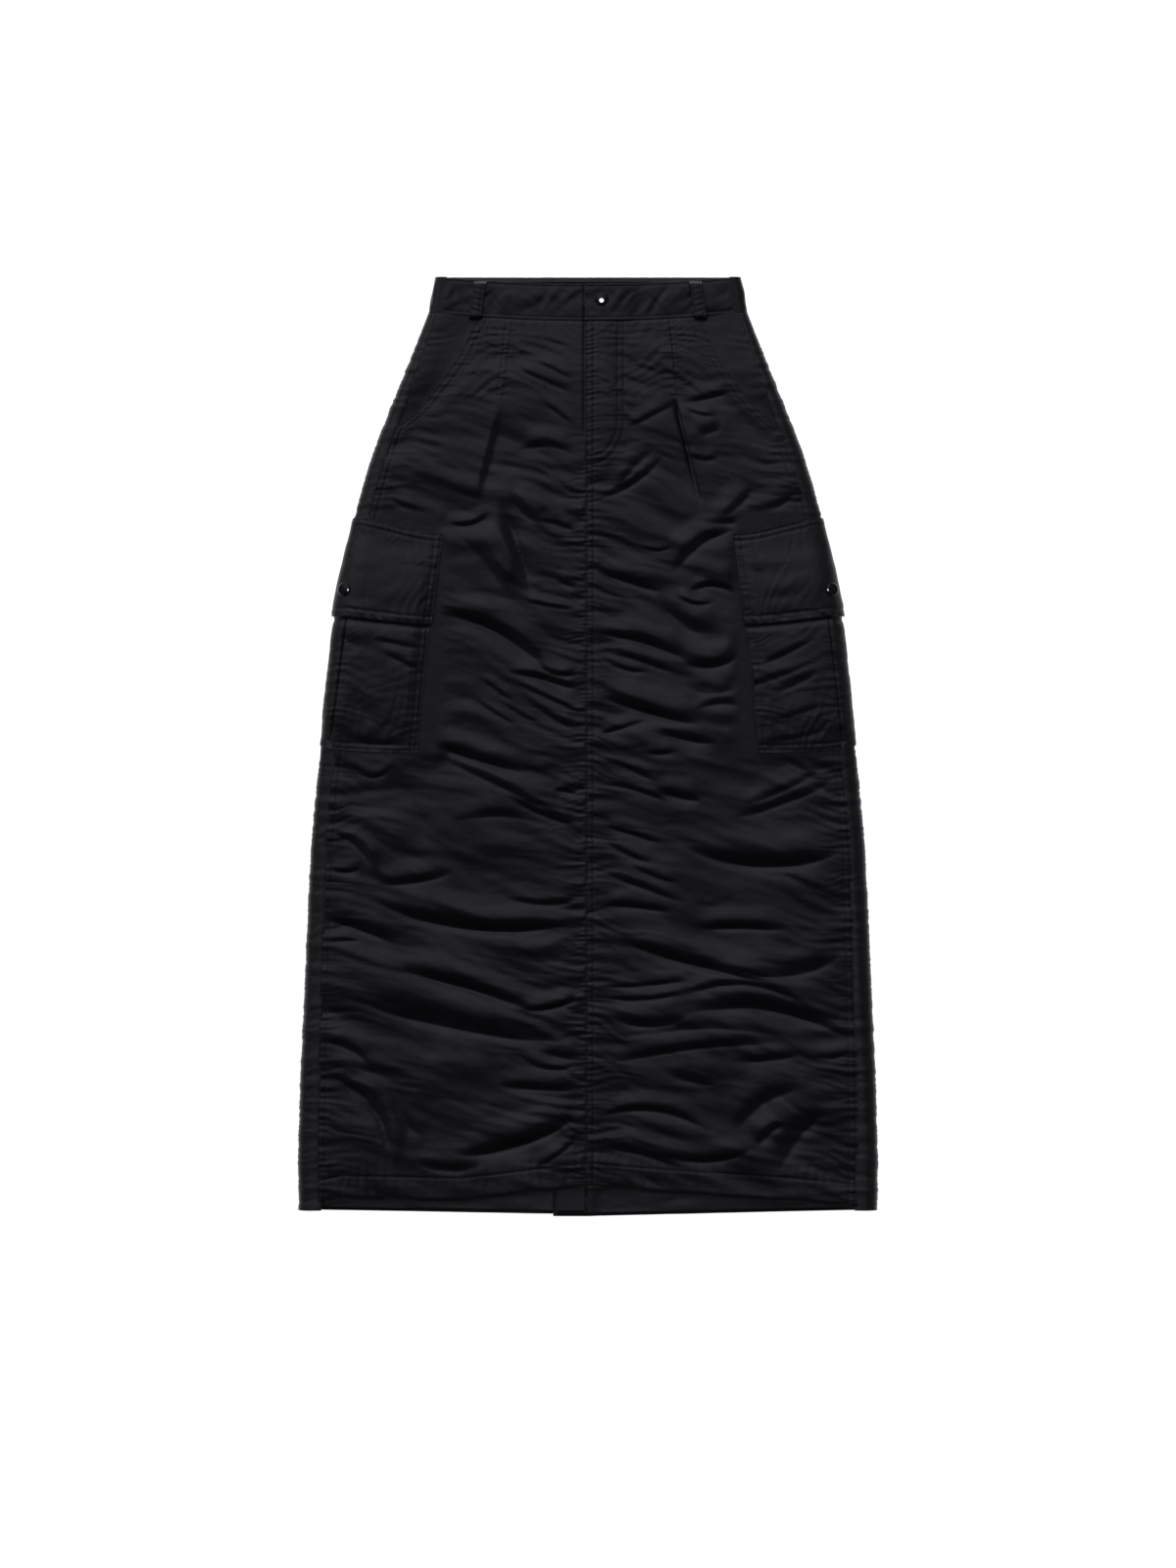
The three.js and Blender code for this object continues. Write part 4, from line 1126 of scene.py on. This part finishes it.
def wrap_place(wrap, drop, front_reach, back_reach):
    """Place on the hoop of a piece that wraps the side. Wrap runs 0 to 1 across the front,
    1 to 3 round the side and 3 to 4 in under the skirt."""
    front = place_at(mix(front_reach, flat_reach(drop), np.clip(wrap, 0, 1)), drop)
    under = place_under(mix(under_flat_reach(drop), back_reach, np.clip(wrap - 3, 0, 1)), drop)
    return np.select([wrap < 1, wrap <= 3], [front, wrap], under)


def pocket_bottom(wrap):
    """Drop of a cargo pocket's bottom edge, lower at the side than in front."""
    return mix(POCKET_BOTTOM_FRONT, POCKET_BOTTOM_SIDE, rise(0.2, 2.33, wrap))


def pocket_pleat(side, drop):
    """Reach of the pleat that lets a cargo pocket open, a straight line that runs on past its
    two ends."""
    line = POCKET_PLEATS[int(side > 0)]
    (top, bottom), (inner, outer) = line["drop"], line["reach"]
    return mix(inner, outer, (drop - top) / (bottom - top))


def pocket_relief(side, wrap, x, drop, from_edge, from_bottom):
    """A cargo pocket's creases, drape, and puckers along its stitching and its pleat. They
    fade under the skirt and at its edges."""
    seed = seed_for("pocket", side)
    from_pleat = np.abs(x) - pocket_pleat(side, drop)
    below_flap = rise(340, 372, drop) * rise(0, 8, from_bottom)
    relief = fold_heights(POCKET_FOLDS, x, drop)
    relief += 0.5 * patches(x / 34, (drop + 8 * patches(x / 40, drop / 40, seed)) / 14, seed + 1)
    relief += cascade(drop, np.maximum(from_edge - 6, 0), EDGE_WAVES, seed + 2) * 1.2
    relief += cascade(x, np.maximum(from_bottom - 6, 0), EDGE_WAVES, seed + 7) * 1.3
    relief += cascade(drop, np.abs(from_pleat) + 1, EDGE_WAVES, seed + 12) * below_flap * 1.3
    relief += 0.4 * np.exp(-np.maximum(-from_pleat, 0) / 9) * (from_pleat < 0) * below_flap
    relief *= rise(3.1, 1.9, wrap) * rise(0, 3, from_edge) * rise(0, 3, from_bottom)
    relief += sum(groove(from_edge - row) + groove(from_bottom - row) for row in EDGE_ROWS)
    slit = -(0.4 + 2.1 * np.exp(-(from_pleat / 2.6) ** 2)) * (from_pleat > 0) * below_flap
    return np.clip(relief, -1.6, 1.6) + slit * rise(2.6, 1.9, wrap)


def pocket_shape(side, wrap, down, lift=0.0):
    """Points of a cargo pocket's outer face. It stands out from the panel, sewn down at its
    edges and bottom, with puckers along its stitching. At its pleat the cloth steps down
    under the front part's edge, and under the flap's edge it is pressed in."""
    bottom = pocket_bottom(wrap)
    drop = mix(POCKET_MOUTH, bottom, down)
    front_reach = line_reach(POCKET_EDGE, drop)
    place = wrap_place(wrap, drop, front_reach, POCKET_BACK_REACH)
    sewn = 1 - rise(0.8, 0.98, down)
    stand = np.interp(wrap, POCKET_STAND["wrap"], POCKET_STAND["stand"])
    under = (UNDER_POCKET_LIFT - CLOTH_WALL - SEAM_GAP) * rise(0.34, 0.43, down)
    under = under * rise(7 / 3, 8 / 3, wrap) * rise(4, 3.8, wrap)
    stand = np.where(wrap < 7 / 3, stand, 0.6 * rise(8 / 3, 7 / 3, wrap) + under) * sewn
    x = hoop(side, place, drop, 0)[..., 0]
    relief = pocket_relief(side, wrap, x, drop, np.abs(x) - front_reach, bottom - drop)
    flap_end = mix(*FLAP_BOTTOM, rise(0, 4 / 3, wrap))
    pressed = -1.5 * np.exp(-((drop - flap_end - 3.5) / 3) ** 2) * rise(2.6, 1.9, wrap)
    total = SEAM_GAP + CLOTH_WALL + stand + relief + pressed * sewn
    return hoop(side, place, drop, np.maximum(total, 0.15) + lift)


def pocket_wraps(side, down):
    """Wrap values of a cargo pocket's grid: closer together at the front edge and round the
    side, and crowded at the pleat, where the cloth has a true step."""
    pleat = np.full_like(down, 1.5)
    for _ in range(SETTLING_ROUNDS):
        drop = mix(POCKET_MOUTH, pocket_bottom(pleat), down)
        pleat = np.clip(place_at(pocket_pleat(side, drop), drop), 1.1, 2.2)
    front = np.linspace(0, 1, 64, endpoint=False) ** 1.15
    step = np.array([-0.012, -0.005, -0.001, 0.001, 0.005, 0.012, 0.03])
    every_row = np.ones_like(down)
    return np.concatenate([
        every_row * front,
        mix(1, pleat + step[0], np.linspace(0, 1, 18, endpoint=False)),
        pleat + step,
        mix(pleat + 0.05, 3, np.linspace(0, 1, 44, endpoint=False)),
        every_row * np.linspace(3, 4, 26)], 1)


def cargo_pocket(side):
    """A cargo pocket from its edge on the front, round the side and under the skirt."""
    down = steps_down(150)
    wrap = pocket_wraps(side, down)
    name = side_name(side)
    return cloth_piece(f"cargo_pocket_{name}", f"pocket_{name}",
                       lambda lift: pocket_shape(side, wrap, down, lift), turned_in=3)


def flap_relief(side, wrap, x, drop, from_edge, from_top, from_bottom):
    """A flap's drape, the puckers along its stitching, and the stitched hem band round its
    free edges. They fade under the skirt and at its edges."""
    seed = seed_for("flap", side)
    relief = 0.45 * patches(x / 30, (drop + 6 * patches(x / 40, drop / 30, seed)) / 13, seed + 1)
    relief += cascade(x, np.abs(from_bottom - FLAP_HEM), FLAP_HEM_WAVES, seed + 2)
    band = rise(12, 7, from_bottom)
    relief += 0.45 * band * patches((x + 0.8 * from_bottom) / 5.5, from_bottom / 5, seed + 9)
    relief += cascade(drop, np.abs(from_edge - 4), EDGE_WAVES, seed + 5) * rise(22, 6, from_edge)
    relief += cascade(x, np.maximum(from_top - 4, 0), EDGE_WAVES, seed + 6)
    relief *= rise(3.1, 2.2, wrap) * rise(0, 2, from_edge) * rise(0, 2, from_top)
    relief += groove(from_bottom - FLAP_HEM, 0.5)
    relief += sum(groove(from_edge - row) + groove(from_top - row) for row in EDGE_ROWS)
    return np.clip(relief, -1.2, 1.4)


def flap_shape(side, wrap, down, lift=0.0):
    """Points of a pocket flap's outer face: sewn down along its top, standing off the pocket
    below it."""
    lean = rise(0, 4 / 3, wrap)
    dip = 6 * rise(3, 4.4, wrap)
    top = mix(*FLAP_TOP, lean) + dip
    bottom = mix(*FLAP_BOTTOM, lean) + dip
    drop = mix(top, bottom, down)
    front_reach = mix(*FLAP_INNER, down)
    place = wrap_place(wrap, drop, front_reach, FLAP_BACK_REACH)
    stand = np.interp(wrap, FLAP_STAND["wrap"], FLAP_STAND["stand"]) * rise(0.0, 0.7, down)
    x = hoop(side, place, drop, 0)[..., 0]
    relief = flap_relief(side, wrap, x, drop, np.abs(x) - front_reach, drop - top, bottom - drop)
    return hoop(side, place, drop, SEAM_GAP + CLOTH_WALL + stand + relief + lift)


def pocket_flap(side):
    """A pocket flap from the front, round the side and under the skirt."""
    wrap = np.concatenate([np.linspace(0, 1, 60, endpoint=False) ** 1.15,
                           np.linspace(1, 3, 44, endpoint=False), np.linspace(3, 4, 30)])
    down = steps_down(84)
    name = side_name(side)
    return cloth_piece(f"pocket_flap_{name}", f"flap_{name}",
                       lambda lift: flap_shape(side, wrap, down, lift))


# A snap cap: its radius and height, the height of its rim, the radius of the tiny holes at
# its two poles, and the steps round it
SNAP_RADIUS = 7.5
SNAP_HEIGHT = 3.0
SNAP_RIM = 0.3
SNAP_POLE = 0.02
SPIN = 48


def snap_cap(name, node):
    """A snap's cap on its solid's place: a profile spun round its axis, a flat-topped dome.
    The axis runs from the solid's lowest face to its highest."""
    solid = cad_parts[node].data
    solid.calc_loop_triangles()
    normals = np.array([t.normal for t in solid.loop_triangles])
    areas = np.array([t.area for t in solid.loop_triangles])
    centres = np.array([t.center for t in solid.loop_triangles]) / MM
    foot = normals[np.argmax([areas[(normals @ n) > 0.999].sum() for n in normals])]
    flat = (normals @ foot) > 0.999
    base = (centres[flat] * areas[flat, None]).sum(0) / areas[flat].sum()
    axis = -foot
    first = unit(np.cross(axis, [0, 1, 0]))
    second = np.cross(axis, first)
    dome = np.linspace(0, 0.98, 20) * np.pi / 2
    radius = [SNAP_POLE, SNAP_RADIUS - SNAP_RIM, *SNAP_RADIUS * np.cos(dome) ** 0.8, SNAP_POLE]
    height = [0, 0, *SNAP_RIM + (SNAP_HEIGHT - SNAP_RIM) * np.sin(dome), SNAP_HEIGHT]
    angle = np.linspace(0, 2 * np.pi, SPIN, endpoint=False)
    spin = first * np.cos(angle)[:, None] + second * np.sin(angle)[:, None]
    rings = base + np.array(radius)[:, None, None] * spin + np.array(height)[:, None, None] * axis
    index = np.arange(rings.shape[0] * SPIN).reshape(-1, SPIN)
    around = np.roll(index, -1, 1)
    faces = np.stack([index[:-1], around[:-1], around[1:], index[1:]], -1).reshape(-1, 4)
    vertices = rings.reshape(-1, 3)
    a, b, d = (vertices[faces[SPIN + 12, k]] for k in (0, 1, 3))
    if np.cross(b - a, d - a) @ (a - base) < 0:
        faces = faces[:, ::-1]
    return piece(mesh_object(name, vertices, faces), ENAMEL, [node])


# The four rings of points of a stitch: place along it as a share of its length, and width and
# height as shares of the thread
STITCH_RINGS = [(-0.42, 0.25, -0.1), (-0.25, 1, 0.25), (0.25, 1, 0.25), (0.42, 0.25, -0.1)]


def stitches(path, outward):
    """Rows of single stitches along a path of surface points: each is a lozenge of thread,
    four-sided, one stitch long less a short gap, half sunk in the cloth. Returns vertices and
    faces."""
    steps = np.linalg.norm(np.diff(path, axis=0), axis=1)
    run = np.concatenate([[0], np.cumsum(steps)])
    count = max(int(run[-1] / STITCH), 1)
    at = (np.arange(count) + 0.5) * run[-1] / count

    def along(values, offset):
        """The values at an offset along the path from each stitch's middle."""
        return np.stack([np.interp(at + offset, run, values[:, k]) for k in range(3)], -1)

    centre = along(path, 0)
    ahead = unit(along(path, 0.4 * STITCH) - along(path, -0.4 * STITCH))
    up = unit(along(outward, 0))
    beside = unit(np.cross(ahead, up))
    rings = []
    for place, width, height in STITCH_RINGS:
        ring_centre = centre + ahead * place * STITCH + up * height * THREAD
        radius = width * THREAD / 2
        rings.append(np.stack([ring_centre + beside * radius, ring_centre + up * radius,
                               ring_centre - beside * radius, ring_centre - up * radius], 1))
    vertices = np.stack(rings, 1).reshape(-1, 3)
    pattern = []
    for ring in range(3):
        for corner in range(4):
            following = (corner + 1) % 4
            pattern.append((ring * 4 + corner, ring * 4 + following,
                            ring * 4 + 4 + following, ring * 4 + 4 + corner))
    pattern += [(3, 2, 1, 0), (12, 13, 14, 15)]
    faces = np.array(pattern)[None] + 16 * np.arange(count)[:, None, None]
    return vertices, faces.reshape(-1, 4)


def sew(name, rows):
    """One object of all the stitches along the rows given, each a pair of arrays: surface
    points and the same points moved out."""
    vertices, faces, start = [], [], 0
    for path, raised in rows:
        made_vertices, made_faces = stitches(path, raised - path)
        vertices.append(made_vertices)
        faces.append(made_faces + start)
        start += len(made_vertices)
    return piece(mesh_object(name, np.concatenate(vertices), np.concatenate(faces)), SEWN)


def rows_on(face, side, tracks):
    """Stitch rows on a surface function: along each track, given in the surface's own two
    measures, its points and the same points moved out."""
    return [(face(side, *track), face(side, *track, 1.0)) for track in tracks]


def fly_track(offset):
    """One row of the fly's stitching: straight down, then a quarter ellipse to the seam."""
    turn = np.linspace(0.02, 1, 40) * np.pi / 2
    tall = FLY_CURVE_BOTTOM - FLY_CURVE_TOP + offset
    wide = FLY_X - FLY_CURVE_INNER + offset
    reach = np.concatenate([np.full(60, FLY_X + offset), FLY_CURVE_INNER + wide * np.cos(turn)])
    drop = np.concatenate([np.linspace(54, FLY_CURVE_TOP, 60), FLY_CURVE_TOP + tall * np.sin(turn)])
    return reach, drop


def front_tracks(side):
    """Where a front panel is stitched, by reach and drop: side seam, slant of the hip pocket,
    pleat and hem, and on the right the middle seam and the fly's curve."""
    above_pocket = np.linspace(SLANT_BOTTOM + 6, 238, 60)
    below_pocket = np.linspace(516, 986, 400)
    tracks = [(seam_reach(drop) - row, drop) for row in SEAM_ROWS
              for drop in (above_pocket, below_pocket)]
    slant = np.linspace(46, SLANT_BOTTOM - 3, 110)
    tracks += [(line_reach(SLANT_LINE, slant) - row / SLANT_SLOPE, slant) for row in EDGE_ROWS]
    pleat = np.linspace(48, PLEAT_TOP, 70)
    tracks += [(line_reach(PLEAT_LINE, pleat) + row, pleat) for row in PLEAT_ROWS]
    across = np.linspace(middle_edge(side, 960) + 3, seam_reach(960) - 3, 300)
    tracks.append((across, front_hem(side * across) - HEM_STITCH))
    if side > 0:
        middle = np.linspace(60, 966, 700)
        tracks.append((middle_edge(side, middle) + 1.6, middle))
        tracks.append((ROW_ROOM, np.linspace(205, 966, 600)))
        tracks += [fly_track(row) for row in FLY_ROWS]
    return tracks


def back_place(side, reach, drop, lift=0.0):
    """Points of the back's flat outer face, with its relief, moved out by lift."""
    place = place_under(reach, drop)
    return hoop(side, place, drop, back_relief(side, place, reach, drop) + lift)


def back_tracks():
    """Where a back panel is stitched, by reach and drop: two rows beside the middle seam and
    one along the hem."""
    middle = np.linspace(46, VENT_TOP - 10, 500)
    across = np.linspace(10, under_flat_reach(960) - 2, 240)
    return [(row, middle) for row in SEAM_ROWS] + [(across, BACK_HEM_SIDE - HEM_STITCH)]


def band_tracks(side):
    """Where a front band is stitched, by reach and share of its height: along both edges, and
    on the right down its end at the fly."""
    start = 2 - FLY_EDGE if side > 0 else -4
    reach = np.linspace(start, seam_reach(20) - 3, 160)
    tracks = [(reach, share) for share in BAND_ROWS]
    if side > 0:
        tracks.append((start, np.linspace(*BAND_ROWS, 30)))
    return tracks


def round_side(start):
    """Wrap values from a start on the front to a place in under the side."""
    return np.concatenate([np.linspace(start, 1, 50), np.linspace(1.02, 2.6, 40)])


def pocket_tracks():
    """Where a cargo pocket is stitched, by wrap and share down: two rows along its front edge
    below the flap and two along its bottom."""
    tracks = []
    width = flat_reach(430) - line_reach(POCKET_EDGE, 430)
    for row in EDGE_ROWS:
        low = 1 - row / POCKET_HEIGHT
        tracks.append((row / width, np.linspace(0.36, low, 70)))
        tracks.append((round_side(row / FLAP_FRONT_WIDTH), low))
    return tracks


def flap_tracks():
    """Where a flap is stitched, by wrap and share down: two rows along its top and its front
    edge, and one for its hem."""
    tracks = []
    hem = 1 - FLAP_HEM / FLAP_HEIGHT
    for row in EDGE_ROWS:
        inset, top = row / FLAP_FRONT_WIDTH, row / FLAP_HEIGHT
        tracks.append((round_side(inset), top))
        tracks.append((inset, np.linspace(top, hem, 60)))
    tracks.append((round_side(EDGE_ROWS[1] / FLAP_FRONT_WIDTH), hem))
    return tracks


def loop_tracks():
    """Where a belt loop is stitched, by share down and across: along both edges, and the tacks
    at its ends."""
    edges = [(np.linspace(0.02, 0.98, 40), across) for across in LOOP_ROWS]
    tacks = [(share, np.linspace(-0.42, 0.42, 12)) for share in (0.03, 0.06, 0.94, 0.97)]
    return edges + tacks


caps = []
backs = []
for side in (-1, 1):
    name = side_name(side)
    front = front_panel(side)
    back = back_panel(side)
    backs.append(back)
    facing = hip_facing(side)
    band = front_band(side)
    loop = belt_loop(side)
    pocket = cargo_pocket(side)
    flap = pocket_flap(side)
    caps.append(snap_cap(f"flap_snap_cap_{name}", f"snap_flap_{name}"))
    front_sewing = sew(f"stitching_front_{name}", rows_on(front_place, side, front_tracks(side)))
    back_sewing = sew(f"stitching_back_{name}", rows_on(back_place, side, back_tracks()))
    band_rows = rows_on(front_band_place, side, band_tracks(side))
    band_sewing = sew(f"stitching_waistband_{name}", band_rows)
    pocket_rows = rows_on(pocket_shape, side, pocket_tracks())
    pocket_rows += rows_on(flap_shape, side, flap_tracks())
    pocket_sewing = sew(f"stitching_pocket_{name}", pocket_rows)
    loop_sewing = sew(f"stitching_belt_loop_{name}", rows_on(loop_place, side, loop_tracks()))
caps.append(snap_cap("waist_snap_cap", "snap_waist"))
back_band_piece = back_band()


def white_floor():
    """A plain white floor just below the skirt, lit from within as a light table is, so that
    it shows no shadow."""
    half, level = 6000.0, -0.3
    corners = np.array([(x, y, level) for x, y in ((-half, -half), (half, -half), (half, half),
                                                   (-half, half))])
    made = mesh_object("floor", corners, np.array([[0, 1, 2, 3]]))
    material, tree = new_material("white_light_table")
    finish_material(tree, {"Base Color": hex_colour("#f4f4f4"), "Roughness": 0.9,
                           "Specular IOR Level": 0.1, "Emission Color": (1, 1, 1, 1),
                           "Emission Strength": 1.0})
    made.data.materials.append(material)


# The studio's sky: where its light comes from, and its strength at an angle from there
SKY_TOWARDS = (-0.2, 0.64, 0.75)
SKY_ANGLES = (50, 2)
SKY_STRENGTHS = (0.02, 0.8)
SKY_SIDES = (0.3, 0.8)
SKY_SIDE_STRENGTH = 0.1
SKY_COLOUR = "#f0f2ff"


def studio():
    """A soft wide light from the waist side and a little from the left. The sky is strongest
    there and dims with the angle from it, down to almost black towards the hem. Weak light
    from both sides shows the turned edges."""
    world = bpy.data.worlds.new("studio")
    world.use_nodes = True
    tree = world.node_tree
    place = add_node(tree, "ShaderNodeTexCoord", {}, {})
    towards = add_node(tree, "ShaderNodeVectorMath", {"operation": "DOT_PRODUCT"},
                       {0: place.outputs["Generated"], 1: Vector(SKY_TOWARDS).normalized()})
    far, near = np.cos(np.radians(SKY_ANGLES))
    strength = add_node(tree, "ShaderNodeMapRange", {"interpolation_type": "SMOOTHSTEP"},
                        {"Value": towards.outputs["Value"], "From Min": far, "From Max": near,
                         "To Min": SKY_STRENGTHS[0], "To Max": SKY_STRENGTHS[1]})
    direction = add_node(tree, "ShaderNodeSeparateXYZ", {}, {"Vector": place.outputs["Generated"]})
    sideways = add_node(tree, "ShaderNodeMath", {"operation": "ABSOLUTE"},
                        {0: direction.outputs["X"]})
    sides = add_node(tree, "ShaderNodeMapRange", {"interpolation_type": "SMOOTHSTEP"},
                     {"Value": sideways.outputs["Value"], "From Min": SKY_SIDES[0],
                      "From Max": SKY_SIDES[1], "To Max": SKY_SIDE_STRENGTH})
    total = add_node(tree, "ShaderNodeMath", {"operation": "ADD"},
                     {0: strength.outputs["Result"], 1: sides.outputs["Result"]})
    background = tree.nodes["Background"]
    background.inputs["Color"].default_value = hex_colour(SKY_COLOUR)
    tree.links.new(total.outputs["Value"], background.inputs["Strength"])
    scene = bpy.context.scene
    scene.world = world
    scene.view_settings.view_transform = "Standard"


# Round softboxes above the skirt: place and width in metres, and power in watts
CAP_LIGHT = ((-0.05, 0.3, 2.4), 1.0, 120)
HEM_LIGHT = ((0, -0.55, 2.4), 1.2, 1.2)


def round_light(name, settings, lit_pieces):
    """A round softbox that shines straight down on some pieces alone. One gives each gloss
    snap cap its round white reflection, and one brightens the back's inner side at the hem,
    which the front would leave in shade."""
    place, width, power = settings
    light = bpy.data.lights.new(name, "AREA")
    light.shape = "DISK"
    light.size = width
    light.energy = power
    light.color = hex_colour(SKY_COLOUR)[:3]
    made = bpy.data.objects.new(name, light)
    bpy.context.scene.collection.objects.link(made)
    made.location = place
    lit = bpy.data.collections.new(f"{name}_pieces")
    for lit_piece in lit_pieces:
        lit.objects.link(lit_piece)
    made.light_linking.receiver_collection = lit


def camera():
    """The photograph's camera: straight above, so far away that its long side is covered."""
    data = bpy.data.cameras.new("camera")
    data.lens = LENS_MM
    data.sensor_width = SENSOR_MM
    long_side = max(PHOTO_PIXELS) * PHOTO_MM_PER_PIXEL * MM
    height = long_side * LENS_MM / SENSOR_MM
    made = bpy.data.objects.new("camera", data)
    bpy.context.scene.collection.objects.link(made)
    made.location = (PHOTO_MIDDLE[0] * MM, PHOTO_MIDDLE[1] * MM, height)
    bpy.context.scene.camera = made


white_floor()
studio()
round_light("cap_light", CAP_LIGHT, caps)
round_light("hem_light", HEM_LIGHT, backs)
camera()
